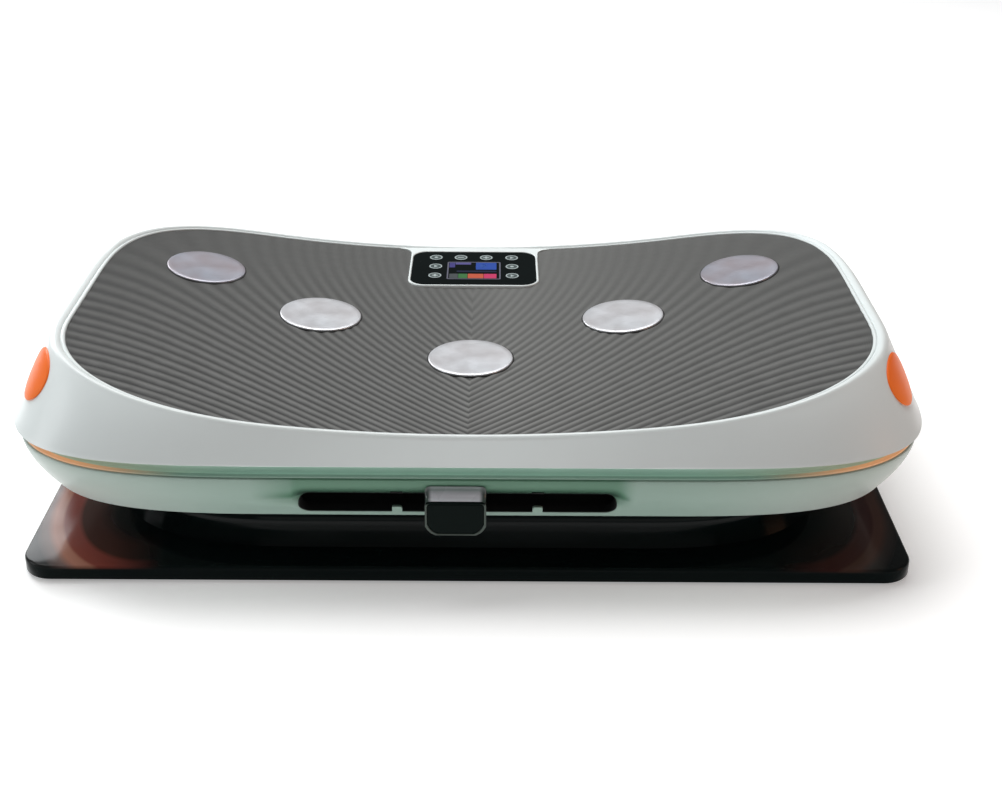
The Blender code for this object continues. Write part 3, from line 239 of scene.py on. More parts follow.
class Finish:
    """A Principled material, with helpers that shape its colour, roughness, light and surface."""

    def __init__(self, name, colour, roughness, metallic=0.0, specular=0.5, coat=0.0):
        self.name = name
        self.colour = colour
        self.bumped = None
        self.material = bpy.data.materials.new(name)
        self.material.use_nodes = True
        self.tree = self.material.node_tree
        self.shader = self.tree.nodes["Principled BSDF"]
        self.set("Base Color", colour)
        self.set("Roughness", roughness)
        self.set("Metallic", metallic)
        self.set("Specular IOR Level", specular)
        self.set("Coat Weight", coat)
        self.set("Coat Roughness", COAT_ROUGHNESS)

    def put(self, value, target):
        """Feeds a socket from another one, or sets it to a number, a vector or a colour."""
        if isinstance(value, bpy.types.NodeSocket):
            self.tree.links.new(value, target)
        elif target.type == "RGBA":
            target.default_value = (*value, 1.0)
        else:
            target.default_value = value

    def set(self, socket, value):
        self.put(value, self.shader.inputs[socket])

    def node(self, kind, **values):
        """A new node, whose sockets and settings take these values."""
        node = self.tree.nodes.new(kind)
        for key, value in values.items():
            if key in node.inputs:
                self.put(value, node.inputs[key])
            else:
                setattr(node, key, value)
        return node

    def place(self):
        """The point on the object, in metres."""
        return self.node("ShaderNodeTexCoord").outputs["Object"]

    def axis(self, letter):
        return self.node("ShaderNodeSeparateXYZ", Vector=self.place()).outputs[letter]

    def attribute(self, name):
        """A value that the mesh holds at each of its points."""
        return self.node("ShaderNodeAttribute", attribute_name=name).outputs["Fac"]

    def work(self, operation, first, second):
        """The result of one Math node."""
        step = self.node("ShaderNodeMath", operation=operation)
        self.put(first, step.inputs[0])
        self.put(second, step.inputs[1])
        return step.outputs["Value"]

    def distance(self, letter, middle=0.0):
        """How far the point lies from this place along an axis, on either side."""
        return self.work("ABSOLUTE", self.work("SUBTRACT", self.axis(letter), middle), 0.0)

    def length(self, x, y):
        flat = self.node("ShaderNodeCombineXYZ", X=x, Y=y)
        length = self.node("ShaderNodeVectorMath", operation="LENGTH", Vector=flat.outputs["Vector"])
        return length.outputs["Value"]

    def spread(self, value, start, end=(0.0, 1.0), smooth=False, clamp=True):
        """Takes a value from one range of numbers to another."""
        easing = "SMOOTHSTEP" if smooth else "LINEAR"
        spread = self.node("ShaderNodeMapRange", interpolation_type=easing, clamp=clamp, Value=value)
        for socket, number in zip(RANGE_SOCKETS, (*start, *end)):
            spread.inputs[socket].default_value = number
        return spread.outputs["Result"]

    def ends(self, start, end):
        """0 over the machine's middle, rising to 1 towards both of its ends between these distances."""
        return self.spread(self.distance("X"), (start, end), smooth=True)

    def rise(self, low, high, start=0.0, end=1.0):
        """Runs from start to end as the height crosses from low to high."""
        return self.spread(self.axis("Z"), (low, high), (start, end))

    def noise(self, scale, detail=3.0, stretch=EVEN):
        mapping = self.node("ShaderNodeMapping", Vector=self.place(), Scale=stretch)
        noise = self.node("ShaderNodeTexNoise", Vector=mapping.outputs["Vector"], Scale=scale, Detail=detail)
        return noise.outputs["Fac"]

    def ramp(self, factor, stops):
        """The colour at this factor, between stops that each hold a place and a colour."""
        ramp = self.node("ShaderNodeValToRGB", Fac=factor)
        elements = ramp.color_ramp.elements
        while len(elements) < len(stops):
            elements.new(0.5)
        for element, (place, colour) in zip(elements, stops):
            element.position = place
            element.color = (*colour, 1.0)
        return ramp.outputs["Color"]

    def shade(self, factor, low, high, spread=NOISE_SPREAD):
        """Base colour runs from low to high as the factor crosses the spread."""
        self.set("Base Color", self.ramp(factor, list(zip(spread, (low, high)))))
        return self

    def blend(self, factor, colour, most=1.0):
        """Base colour goes over to this one as the factor rises to 1, by no more than this share."""
        base = self.shader.inputs["Base Color"]
        mix = self.node("ShaderNodeMix", data_type="RGBA", Factor=self.work("MULTIPLY", factor, most))
        self.put(base.links[0].from_socket if base.links else self.colour, mix.inputs[6])
        self.put(colour, mix.inputs[7])
        self.put(mix.outputs[2], base)
        return self

    def mottle(self, scale, amount, stretch=EVEN):
        """Small variation in the base colour."""
        low = [value * (1 - amount) for value in self.colour]
        high = [min(1.0, value * (1 + amount)) for value in self.colour]
        return self.shade(self.noise(scale, 4.0, stretch), low, high)

    def wear(self, scale, low, high, stretch=EVEN):
        """Roughness runs from low to high in patches."""
        self.set("Roughness", self.spread(self.noise(scale, 4.0, stretch), NOISE_SPREAD, (low, high)))
        return self

    def grain(self, factor, depth, strength):
        """Adds a bump of this depth in metres over any bump there already."""
        bump = self.node("ShaderNodeBump", Strength=strength, Distance=depth, Height=factor)
        if self.bumped:
            self.put(self.bumped, bump.inputs["Normal"])
        self.bumped = bump.outputs["Normal"]
        self.set("Normal", self.bumped)
        return self

    def moulded_grain(self):
        """The very fine texture of moulded plastic."""
        return self.grain(self.noise(2600.0, 2.0), 0.00002, 0.35)

    def glow(self, colour, strength):
        """Light from inside, of a plain or a linked colour."""
        self.set("Emission Color", colour)
        self.set("Emission Strength", strength)
        return self


def moulded(name, colour, roughness, **settings):
    """Smooth moulded plastic: faint colour drift, uneven gloss and a very fine texture."""
    finish = Finish(name, colour, roughness, **settings).mottle(6.0, 0.012)
    return finish.wear(35.0, roughness - 0.04, roughness + 0.05).moulded_grain()


def polished(name, colour, roughness, **settings):
    """Polished black plastic with faint smears in its gloss."""
    finish = Finish(name, colour, roughness, **settings).mottle(9.0, 0.15)
    return finish.wear(14.0, roughness * 0.7, roughness * 1.5, SMEARED)


def metal(name, colour, roughness, stretch=EVEN, scale=90.0):
    """Metal with a faint grain, drawn out along the axes where the stretch is below 1."""
    finish = Finish(name, colour, roughness, metallic=1.0).mottle(scale, 0.08, stretch)
    finish.wear(scale * 0.7, roughness - 0.08, roughness + 0.1, stretch)
    return finish.grain(finish.noise(scale * 14, 2.0, stretch), 0.00003, 0.3)


def rubber(name, colour):
    finish = Finish(name, colour, 0.78, specular=0.3).mottle(60.0, 0.2)
    return finish.grain(finish.noise(900.0), 0.0001, 0.5)


def cast_iron():
    finish = metal("cast_iron", (0.1, 0.11, 0.12), 0.6)
    return finish.grain(finish.noise(500.0), 0.0002, 0.6)


def make_finishes():
    """Finishes by name. Those named after a material slot of the record also go on the CAD inside."""
    found = [
        moulded("white_shell", (0.7, 0.745, 0.74), 0.32, specular=0.4),
        pale_shell_finish(),
        mat_finish(),
        brushed_disc("satin_disc", (0.66, 0.645, 0.66), (0.63, 0.65, 0.68)),
        # The outer discs: a darker copy of the satin disc finish, for painted shade.
        brushed_disc("shaded_outer_disc", (0.44, 0.39, 0.42), (0.37, 0.39, 0.45)),
        polished("gloss_black", (0.003, 0.006, 0.006), 0.12, specular=0.13),
        polished("panel_glass", (0.002, 0.004, 0.004), 0.09, specular=0.05),
        polished("remote_black", (0.002, 0.006, 0.005), 0.16, specular=0.05),
        moulded("black_plastic", (0.02, 0.021, 0.021), 0.55),
        metal("steel", (0.2, 0.21, 0.22), 0.45),
        metal("bright_steel", (0.62, 0.63, 0.64), 0.25, (1.0, 0.1, 1.0)),
        metal("aluminium", (0.66, 0.67, 0.68), 0.32, (1.0, 0.3, 1.0)),
        cast_iron(),
        rubber("foot_rubber", (0.02, 0.02, 0.02)),
        rubber("belt_rubber", (0.014, 0.014, 0.014)),
        circuit_board(),
        moulded("capacitor_blue", (0.03, 0.06, 0.2), 0.4),
        moulded("switch_red", (0.42, 0.02, 0.02), 0.28),
        Finish("display", (0.02, 0.03, 0.07), 0.25).mottle(40.0, 0.2),
        bronze(),
        remote_hood_finish(),
    ]
    return {finish.name: finish for finish in found}


def bronze():
    """Dark bronze rim of the remote, black along its top."""
    finish = metal("bronze", (0.075, 0.09, 0.08), 0.38, (1.0, 1.0, 0.2))
    return finish.blend(finish.rise(REMOTE_Z[1] - 3 * MM, REMOTE_Z[1] - 1 * MM), (0.004, 0.008, 0.007))


def remote_hood_finish():
    """Satin grey top of the remote, with a painted highlight at the ledge over its face, painted shade
    towards its top and painted shade at its sides.
    """
    finish = Finish("remote_hood", (0.5, 0.5, 0.6), 0.28, coat=0.3)
    low = REMOTE_Z[1] - 1 * MM
    # Painted highlight low on the hood, going over to painted shade towards its top.
    finish.shade(finish.rise(low, REMOTE_HOOD_Z), (0.66, 0.67, 0.72), (0.15, 0.19, 0.185))
    edge = (REMOTE_HALF - 6 * MM, REMOTE_HALF - 2 * MM)
    # Painted shade along both sides.
    finish.blend(finish.spread(finish.distance("X", REMOTE_X), edge, smooth=True), (0.045, 0.06, 0.055))
    return finish.wear(35.0, 0.24, 0.33)


def pale_shell_finish():
    """Pale green moulded plastic, greenest along the middle of the front, with painted shade under the ledge
    and painted shade over the slot and in its hollow.
    """
    finish = Finish("pale_shell", (0.6, 0.7, 0.64), 0.34, specular=0.4)
    finish.shade(finish.ends(0.14, 0.38), (0.4, 0.545, 0.475), (0.67, 0.71, 0.68), (0.0, 1.0))
    # Painted shade under the overhanging skirt: darker towards the ledge.
    finish.blend(finish.rise(LIP_Z, LEDGE_Z), (0.17, 0.26, 0.21), 0.55)
    # Painted shade on the front wall over the slot, deepest in its hollow.
    painted_hollow_shade = finish.attribute("painted_hollow_shade")
    finish.blend(finish.spread(painted_hollow_shade, (0.0, 0.5)), (0.11, 0.24, 0.16))
    finish.blend(finish.spread(painted_hollow_shade, (0.5, 1.0)), (0.008, 0.018, 0.014))
    return finish.wear(35.0, 0.3, 0.39).moulded_grain()


def mat_finish():
    """Tread rubber: painted shade between the ribs and painted light on their tops, with patchy roughness."""
    finish = Finish("mat_grey", (0.09, 0.09, 0.085), 0.6, specular=0.3)
    finish.shade(finish.attribute("painted_tread_light"), (0.0, 0.0, 0.0), (0.2, 0.202, 0.194), (0.0, 0.2))
    return finish.wear(60.0, 0.52, 0.68).grain(finish.noise(1500.0, 3.0), 0.0001, 0.5)


def brushed_disc(name, warm, cool):
    """Satin metal with fine rings of brushing about each disc's own middle, where its object sits."""
    finish = Finish(name, warm, 0.36, metallic=0.6)
    out = finish.length(finish.axis("X"), finish.axis("Y"))
    rings = finish.node("ShaderNodeTexNoise", noise_dimensions="1D", W=out, Scale=900.0, Detail=4.0)
    finish.grain(rings.outputs["Fac"], 0.00003, 0.5)
    return finish.shade(finish.noise(22.0, 2.0), warm, cool).wear(45.0, 0.3, 0.42)


def circuit_board():
    """Green board with a fine pattern of tracks."""
    finish = Finish("board_green", (0.02, 0.13, 0.05), 0.42)
    tracks = finish.node("ShaderNodeTexBrick", Vector=finish.place(), Scale=160.0)
    tracks.inputs["Mortar Size"].default_value = 0.06
    for socket, colour in (
        ("Color1", (0.02, 0.12, 0.05)),
        ("Color2", (0.025, 0.15, 0.06)),
        ("Mortar", (0.05, 0.24, 0.1)),
    ):
        finish.put(colour, tracks.inputs[socket])
    finish.set("Base Color", tracks.outputs["Color"])
    return finish.grain(tracks.outputs["Fac"], 0.00004, 0.5)


def lamp_finish():
    """Orange lens, lit from inside and a little paler towards its lower edge."""
    finish = Finish("lamp_orange", (0.56, 0.11, 0.018), 0.34, specular=0.1)
    light = finish.ramp(finish.rise(0.118, 0.162), ((0.0, (0.98, 0.26, 0.05)), (1.0, (0.8, 0.12, 0.018))))
    return finish.glow(light, 0.29).mottle(30.0, 0.06)


def light_strip_finish():
    """Translucent strip, dim along the middle and lit orange towards both ends of the machine."""
    finish = Finish("light_ring", (0.16, 0.2, 0.17), 0.4, specular=0.3)
    light = finish.ramp(finish.ends(0.22, 0.33), ((0.0, (0.06, 0.115, 0.088)), (1.0, (0.53, 0.22, 0.085))))
    return finish.glow(light, 1.0).mottle(25.0, 0.08)


def groove_painted_light_finish():
    """Painted light in the groove's shade: a pale green glow, even along the middle and warmer where the
    orange light is strong.
    """
    finish = Finish("groove_painted_light", (0.42, 0.56, 0.48), 0.45, specular=0.3)
    light = finish.ramp(finish.ends(0.16, 0.34), ((0.0, (0.07, 0.125, 0.1)), (1.0, (0.13, 0.13, 0.09))))
    return finish.glow(light, 1.0).mottle(20.0, 0.05)


def lit(name, colour, glowing=0.6):
    """A lit mark under glass, which shows this colour: partly its own, partly light."""
    finish = Finish(name, [value * (1 - glowing) for value in colour], 0.3, specular=0.1)
    return finish.mottle(300.0, 0.15).glow([value * glowing for value in colour], 1.0)


def slab_finish():
    """Glossy black base with painted reflection of orange light in a dark red curved band at each end,
    strongest at the left front.
    """
    finish = Finish("slab_black", (0.003, 0.006, 0.006), 0.1, specular=0.1)
    top = (SLAB_TOP_Z - 3 * MM, SLAB_TOP_Z)
    finish.set("Specular IOR Level", finish.rise(*top, 0.04, 0.1))
    # Painted reflection of the orange lights: a dark red band that follows the corners.
    reach = []
    for letter, middle, start, size in GLOW_REFLECTION_CORNER:
        scaled = finish.spread(finish.distance(letter, middle), (start, start + size), clamp=False)
        reach.append(finish.work("MAXIMUM", scaled, 0.0))
    across = finish.work("DIVIDE", finish.length(*reach), GLOW_REFLECTION_REACH)
    painted_reflection = finish.ramp(across, [(place / GLOW_REFLECTION_REACH, colour) for place, colour in GLOW_REFLECTIONS])
    amount = finish.spread(finish.axis("X"), (-GLOW_REFLECTION_ENDS[0], GLOW_REFLECTION_ENDS[0]), (1.0, GLOW_REFLECTION_RIGHT))
    rear = finish.spread(finish.axis("Y"), GLOW_REFLECTION_FADE, (1.0, GLOW_REFLECTION_REAR), smooth=True)
    for factor in (rear, finish.ends(*GLOW_REFLECTION_ENDS), finish.rise(*top)):
        amount = finish.work("MULTIPLY", amount, factor)
    return finish.blend(amount, painted_reflection).wear(14.0, 0.07, 0.15, SMEARED)


# --- Mesh helpers -------------------------------------------------------------------


def mesh_of(points, faces):
    mesh = bpy.data.meshes.new("mesh")
    mesh.from_pydata([tuple(map(float, point)) for point in points], [], faces)
    mesh.update()
    return mesh


def linked(name, data):
    obj = bpy.data.objects.new(name, data)
    bpy.context.scene.collection.objects.link(obj)
    return obj


def give_points(mesh, name, values):
    """Stores one number at each point of the mesh, for a finish to read."""
    mesh.attributes.new(name, "FLOAT", "POINT").data.foreach_set("value", values)


def piece(name, mesh, finish, body, nodes, sharp=38.0, place=None):
    """Links a mesh as one piece: it rides on a body and stands for CAD nodes, which it hides.

    The mesh is drawn in the machine's plan or, if a place is given, about its own middle."""
    mesh.name = name
    mesh.materials.clear()
    mesh.materials.append(finish.material)
    mesh.shade_smooth()
    mesh.set_sharp_from_angle(angle=math.radians(sharp))
    obj = linked(name, mesh)
    if place:
        obj.matrix_world = place
    else:
        mesh.transform(Matrix.Translation((0, SHIFT, 0)))
    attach(obj, body)
    if nodes:
        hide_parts(*nodes)


def face_out(mesh):
    shape = bmesh.new()
    shape.from_mesh(mesh)
    bmesh.ops.recalc_face_normals(shape, faces=shape.faces)
    shape.to_mesh(mesh)
    shape.free()
    return mesh


def strip(first, second, count):
    """Quads between two closed rows of vertex numbers that start at first and second."""
    after = [(i + 1) % count for i in range(count)]
    return [(first + i, first + j, second + j, second + i) for i, j in enumerate(after)]


def loft(rings, closed=False, ruled=True):
    """Skins closed rings in order. A closed loft joins its last ring to its first.

    Otherwise both ends are filled: ruled along Y for plan outlines, or with a fan."""
    count = len(rings[0])
    points = [point for ring_points in rings for point in ring_points]
    faces = []
    for index in range(len(rings) - 1):
        faces += strip(index * count, (index + 1) * count, count)
    if closed:
        faces += strip((len(rings) - 1) * count, 0, count)
    else:
        for start in (0, (len(rings) - 1) * count):
            if ruled:
                faces += [
                    (start + i, start + i + 1, start + count - 2 - i, start + count - 1 - i)
                    for i in range(count // 2 - 1)
                ]
            else:
                points.append(np.mean([points[start + i] for i in range(count)], axis=0))
                faces += [(start + i, start + (i + 1) % count, len(points) - 1) for i in range(count)]
    return face_out(mesh_of(points, faces))


def prism(first, last):
    """A closed mesh between two like outlines, each filled with one face."""
    count = len(first)
    faces = strip(0, count, count) + [tuple(range(count)), tuple(range(count, 2 * count))]
    return face_out(mesh_of([*first, *last], faces))


def box(low, high):
    outline = [(low[0], low[1]), (high[0], low[1]), (high[0], high[1]), (low[0], high[1])]
    return prism(level(outline, low[2]), level(outline, high[2]))


def join_meshes(meshes):
    shape = bmesh.new()
    for mesh in meshes:
        shape.from_mesh(mesh)
    whole = bpy.data.meshes.new("whole")
    shape.to_mesh(whole)
    shape.free()
    return whole


def cut_mesh(mesh, cutter):
    """Takes one closed mesh out of another with an exact Boolean."""
    target, tool = linked("cut_target", mesh), linked("cut_tool", cutter)
    modifier = target.modifiers.new("cut", "BOOLEAN")
    modifier.operation = "DIFFERENCE"
    modifier.solver = "EXACT"
    modifier.object = tool
    bpy.context.view_layer.update()
    result = bpy.data.meshes.new_from_object(target.evaluated_get(bpy.context.evaluated_depsgraph_get()))
    for obj in (target, tool):
        bpy.data.objects.remove(obj)
    return result


def arc(radius, centre, start, end, steps):
    angles = np.radians(np.linspace(start, end, steps + 1))
    return [(centre[0] + radius * math.cos(a), centre[1] + radius * math.sin(a)) for a in angles]


def circle(radius, steps, middle=(0.0, 0.0)):
    return arc(radius, middle, 0, 360 - 360 / steps, steps - 1)


def rounded_rectangle(low, high, radius, steps=10):
    (x0, y0), (x1, y1) = low, high
    return (
        arc(radius, (x1 - radius, y0 + radius), -90, 0, steps)
        + arc(radius, (x1 - radius, y1 - radius), 0, 90, steps)
        + arc(radius, (x0 + radius, y1 - radius), 90, 180, steps)
        + arc(radius, (x0 + radius, y0 + radius), 180, 270, steps)
    )


def level(outline, height):
    return [(x, y, height) for x, y in outline]


def upright(outline, y):
    return [(x, y, z) for x, z in outline]


# --- Plan shapes --------------------------------------------------------------------


def deck_height(x):
    reach = np.minimum(np.abs(x), HALF_MAT)
    return DECK_LOW + DECK_RADIUS - np.sqrt(DECK_RADIUS**2 - reach**2)


def led(corner, out):
    """The rear corner as an outline grows: it starts to turn further forward."""
    lead = REAR_LEAD * max(0.0, out[0])
    return corner._replace(y=corner.y - lead, reach_y=corner.reach_y + lead)


def edge_y(x, corner, out, square=0.0):
    power = corner.power + square
    share = np.maximum(0.0, np.abs(x) - corner.x) / (corner.reach_x + out[0])
    rise = np.maximum(0.0, 1 - np.minimum(share, 1.0) ** power) ** (1 / power)
    side = math.copysign(1.0, corner.reach_y)
    return corner.y + (corner.reach_y + side * out[1]) * rise


def stations(corner, grow_x, square, corner_steps, straight_steps):
    power = 2 / (corner.power + square)
    straight = np.linspace(-corner.x, corner.x, straight_steps + 1)
    turn = np.sin(np.linspace(0, math.pi / 2, corner_steps + 1)[1:]) ** power
    turn = corner.x + (corner.reach_x + grow_x) * turn
    return np.concatenate([-turn[::-1], straight, turn])


def ring(out, height, square=0.0, plan=MAT_PLAN, corner_steps=44, straight_steps=20):
    front, rear = plan
    rear = led(rear, out)
    xs = stations(front, out[0], square, corner_steps, straight_steps)
    ys = np.concatenate([edge_y(xs, front, out, square), edge_y(xs, rear, out, square)[::-1]])
    xs = np.concatenate([xs, xs[::-1]])
    zs = height(xs) if callable(height) else np.full(len(xs), height)
    return np.stack([xs, ys, zs], axis=1)


def under_deck(depth):
    return lambda x: deck_height(x) - depth


def inset_by(out, inset):
    return [value - inset for value in out]


def skirt_point(share, inset=0.0, depth=0.0):
    """Growth, height and squareness of the skirt at a share of its run from bead to lower edge."""
    out = [bead + (edge - bead) * share - inset for bead, edge in zip(BEAD_OUT, SKIRT_OUT)]

    def height(x):
        return (deck_height(x) - depth) * (1 - share) + SKIRT_EDGE_Z * share

    return out, height, SKIRT_SQUARE * share


# --- Platform -----------------------------------------------------------------------


def upper_shell(finish):
    """Rim with its fine groove, sloping skirt, the wall's inner face, and the lip that the mat lies on."""
    rings = []
    for across, up in RIM:
        rings.append(ring([value * across for value in BEAD_OUT], under_deck(-up * MM)))
    rings += [ring(*skirt_point(share)) for share in np.linspace(0.04, 0.98, 20)]
    out, _, square = skirt_point(1.0)
    for inset, up in ((0.0, 0.4), (0.3, 0.1), (0.9, 0.0), (2.2, 0.0), (2.8, 0.3)):
        rings.append(ring(inset_by(out, inset * MM), SKIRT_EDGE_Z + up * MM, square))
    rings += [ring(*skirt_point(share, WALL, WALL)) for share in (0.9, 0.7, 0.5, 0.3, 0.1)]
    for out, drop in (((4, 3), 0.6), ((-6, -6), 0.6), ((-6, -6), 0.1), ((0, 0), 0.1)):
        rings.append(ring([value * MM for value in out], under_deck(WALL + drop * MM)))
    piece("upper_shell", loft(rings, closed=True), finish, "platform", ["upper_shell"])


def rib_height(x, y):
    """Height of the mat's ribs from 0 to 1, by the phase of the saddle pattern."""
    left, back = -np.abs(x) / DECIMETRE, y / DECIMETRE
    phase = sum(size * left**i * back**j for size, i, j in RIB_WAVES)
    return 0.5 + 0.5 * np.cos(math.tau * phase)


def mat_grid():
    """X and Y of the mat's points, in columns along Y that stand closer together at the mat's ends."""
    inner = HALF_MAT - MAT_END
    edge = inner + MAT_END * np.sin(np.linspace(0.1, 1, 10) * math.pi / 2)
    half = np.concatenate([np.linspace(0, inner, int(inner / MAT_STEP) + 1), edge])
    xs = np.clip(np.concatenate([-half[:0:-1], half]), -HALF_MAT, HALF_MAT)
    rows = int((MAT_REAR.y + MAT_REAR.reach_y - MAT_FRONT.y - MAT_FRONT.reach_y) / MAT_STEP)
    front, rear = edge_y(xs, MAT_FRONT, (0, 0)), edge_y(xs, MAT_REAR, (0, 0))
    across = np.repeat(xs[:, None], rows + 1, axis=1)
    return across, front[:, None] + (rear - front)[:, None] * np.linspace(0, 1, rows + 1)


def mat_faces(columns, wide):
    """Faces of the mat, and the grid's rim: the points under the rim come after the grid's, in its order."""
    faces = [
        (c * wide + r, (c + 1) * wide + r, (c + 1) * wide + r + 1, c * wide + r + 1)
        for c in range(columns - 1)
        for r in range(wide - 1)
    ]
    rim = [c * wide for c in range(columns)] + [(columns - 1) * wide + r for r in range(1, wide)]
    rim += [c * wide + wide - 1 for c in range(columns - 2, -1, -1)] + list(range(wide - 2, 0, -1))
    under = list(range(columns * wide, columns * wide + len(rim)))
    faces += zip(rim, under, under[1:] + under[:1], rim[1:] + rim[:1])
    rear_right = columns + wide - 2
    rear_left = rear_right + columns - 1
    front, rear = under[:columns], under[rear_right : rear_left + 1][::-1]
    faces += zip(front, rear, rear[1:], front[1:])
    faces.append((under[0], *under[: rear_left - 1 : -1]))
    faces.append(tuple(under[rear_right : columns - 2 : -1]))
    return faces, rim


def deck_mat(finish):
    """The ribbed tread, with its underside and edge."""
    across, along = mat_grid()
    rib = rib_height(across, along)
    far = np.clip((along - RIB_FADE[0]) / (RIB_FADE[1] - RIB_FADE[0]), 0, 1)
    depth, contrast = (near + (rear - near) * far for near, rear in (RIB_DEPTH, RIB_PAINTED_CONTRAST))
    contrast *= np.where(across > 0, RIB_RIGHT, 1.0)
    # Painted light and shade: the grey along X, with painted shade in the grooves and painted light on the
    # rib tops.
    painted_tread_light = np.interp(across, *zip(*MAT_PAINTED_LIGHT)) * (1 + contrast * (2 * rib - 1))
    top = np.stack([across, along, deck_height(across) - depth * (1 - rib)], axis=2).reshape(-1, 3)
    faces, rim = mat_faces(*across.shape)
    under = top[rim]
    under[:, 2] = deck_height(under[:, 0]) - WALL
    mesh = mesh_of(np.concatenate([top, under]), faces)
    give_points(mesh, "painted_tread_light", np.concatenate([painted_tread_light.reshape(-1), np.full(len(under), painted_tread_light.mean())]))
    piece("deck_mat", mesh, finish, "platform", ["deck_mat"], sharp=60)


def massage_discs(finish, shaded_outer_finish, shade_ring_finish):
    """Satin discs with a rounded rim, each tilted square to the deck about its own middle."""
    rise, edge = DISC_RISE, 1.1 * MM
    profile = [(share * DISC_RADIUS, rise + dome * MM) for share, dome in DISC_DOME]
    for angle in np.radians(np.linspace(70, 0, 7)):
        profile.append((DISC_RADIUS - edge + edge * math.cos(angle), rise - edge + edge * math.sin(angle)))
    profile.append((DISC_RADIUS, -DISC_DEPTH))
    steps = 96
    places = [(-x, y) for x, y in reversed(DISC_PLACES[1:])] + list(DISC_PLACES)
    for index, (x, y) in enumerate(places):
        rings = [level(circle(radius, steps), height) for radius, height in profile]
        name = f"massage_disc_{index + 1}"
        tilt = -math.copysign(math.asin(abs(x) / DECK_RADIUS), x)
        place = Matrix.Translation((x, y + SHIFT, deck_height(x))) @ Matrix.Rotation(tilt, 4, "Y")
        disc = loft(rings, ruled=False)
        # The outer discs take the darker copy of the disc finish: painted shade.
        disc_finish = shaded_outer_finish if abs(x) == DISC_PLACES[-1][0] else finish
        piece(name, disc, disc_finish, "platform", [name], sharp=50, place=place)
        # A black rubber ring round each disc's foot: painted shade for the shadow of its side.
        rings = [level(circle(DISC_RADIUS + wide * MM, steps), height * MM) for wide, height in DISC_SHADE_RING]
        shade_ring = loft(rings, closed=True)
        shade_ring.transform(Matrix.Translation((0, -SHIFT, 0)) @ place)
        piece(f"disc_shade_ring_{index + 1}", shade_ring, shade_ring_finish, "platform", ())


def panel_outline(inset, corner_steps=14):
    low = (-PANEL_HALF + inset, PANEL_Y[0] + inset)
    high = (PANEL_HALF - inset, PANEL_Y[1] - inset)
    return rounded_rectangle(low, high, PANEL_CORNER - inset, corner_steps)


def control_panel(finishes):
    """White bezel round the black glass, and the marks on it."""
    low, top = PANEL_Z
    bezel = [(0.0, low)] + [(inset * MM, top - drop * MM) for inset, drop in BEZEL_OUTER]
    bezel += [(BEZEL + inset * MM, top - drop * MM) for inset, drop in BEZEL_INNER] + [(BEZEL, low)]
    frame_ring = loft([level(panel_outline(inset), z) for inset, z in bezel], closed=True)
    whole = join_meshes([frame_ring, panel_bridge(low, top - 0.4 * MM)])
    piece("panel_bezel", whole, finishes["white_shell"], "platform", ["panel_bezel"])
    glass_top = top - 0.6 * MM
    inset = BEZEL + 0.1 * MM
    rings = [level(panel_outline(inset), low + 0.3 * MM), level(panel_outline(inset), glass_top - 0.3 * MM)]
    rings.append(level(panel_outline(inset + 0.3 * MM), glass_top))
    glass = loft(rings, ruled=False)
    piece("panel_glass", glass, finishes["panel_glass"], "platform", ["panel_glass"])
    panel_marks(glass_top)


def panel_bridge(low, high):
    """The white land behind the panel, which flares out to the rim and wraps the bezel's rear corners."""
    rear, corner, lap = PANEL_Y[1] + 8.5 * MM, 12 * MM, 1.2 * MM
    flare = rear - 2.5 * MM - corner
    turn_x, turn_y, turn = PANEL_HALF - PANEL_CORNER, PANEL_Y[1] - PANEL_CORNER, PANEL_CORNER - lap
    outline = [(PANEL_HALF, turn_y)] + arc(corner, (PANEL_HALF + corner, flare), 180, 90, 8)
    outline += [(PANEL_HALF + corner, rear), (-PANEL_HALF - corner, rear)]
    outline += arc(corner, (-PANEL_HALF - corner, flare), 90, 0, 8) + [(-PANEL_HALF, turn_y)]
    outline += arc(turn, (-turn_x, turn_y), 180, 90, 10) + arc(turn, (turn_x, turn_y), 90, 0, 10)
    return prism(level(outline, low), level(outline, high))


def plate(outline, low, high):
    return loft([level(outline, low), level(outline, high)], ruled=False)


def panel_marks(base):
    """Touch marks and the screen's picture, as thin plates just proud of the glass."""
    top, pad_top = base + 0.12 * MM, base + 0.05 * MM
    soft = lit("panel_marks", (0.4, 0.46, 0.46))
    shapes, pads = [], []
    for row, (y, places) in enumerate(MARK_ROWS):
        for column, x in enumerate(places):
            shapes += touch_mark(x * MM, y * MM, (row * 3 + column) % 4, base, top)
            pads.append(plate(circle(5.5 * MM, 24, (x * MM, y * MM)), base, pad_top))
    piece("panel_marks", join_meshes(shapes), soft, "platform", ())
    dim = lit("panel_pads", (0.075, 0.095, 0.095))
    piece("panel_pads", join_meshes(pads), dim, "platform", ())
    (x0, y0), (x1, y1), wide = *SCREEN, SCREEN_BORDER
    border = rounded_rectangle((x0, y0), (x1, y1), 2 * MM, 4)
    inner = rounded_rectangle((x0 + wide, y0 + wide), (x1 - wide, y1 - wide), 1 * MM, 4)
    rings = [level(border, base), level(border, top), level(inner, top), level(inner, base)]
    edge = loft(rings, closed=True)
    piece("screen_border", edge, lit("screen_border", (0.13, 0.13, 0.17)), "platform", ())
    for name, low, high, colour in SCREEN_BLOCKS:
        outline = rounded_rectangle([v * MM for v in low], [v * MM for v in high], 0.6 * MM, 3)
        piece(name, plate(outline, base, top), lit(name, colour), "platform", ())


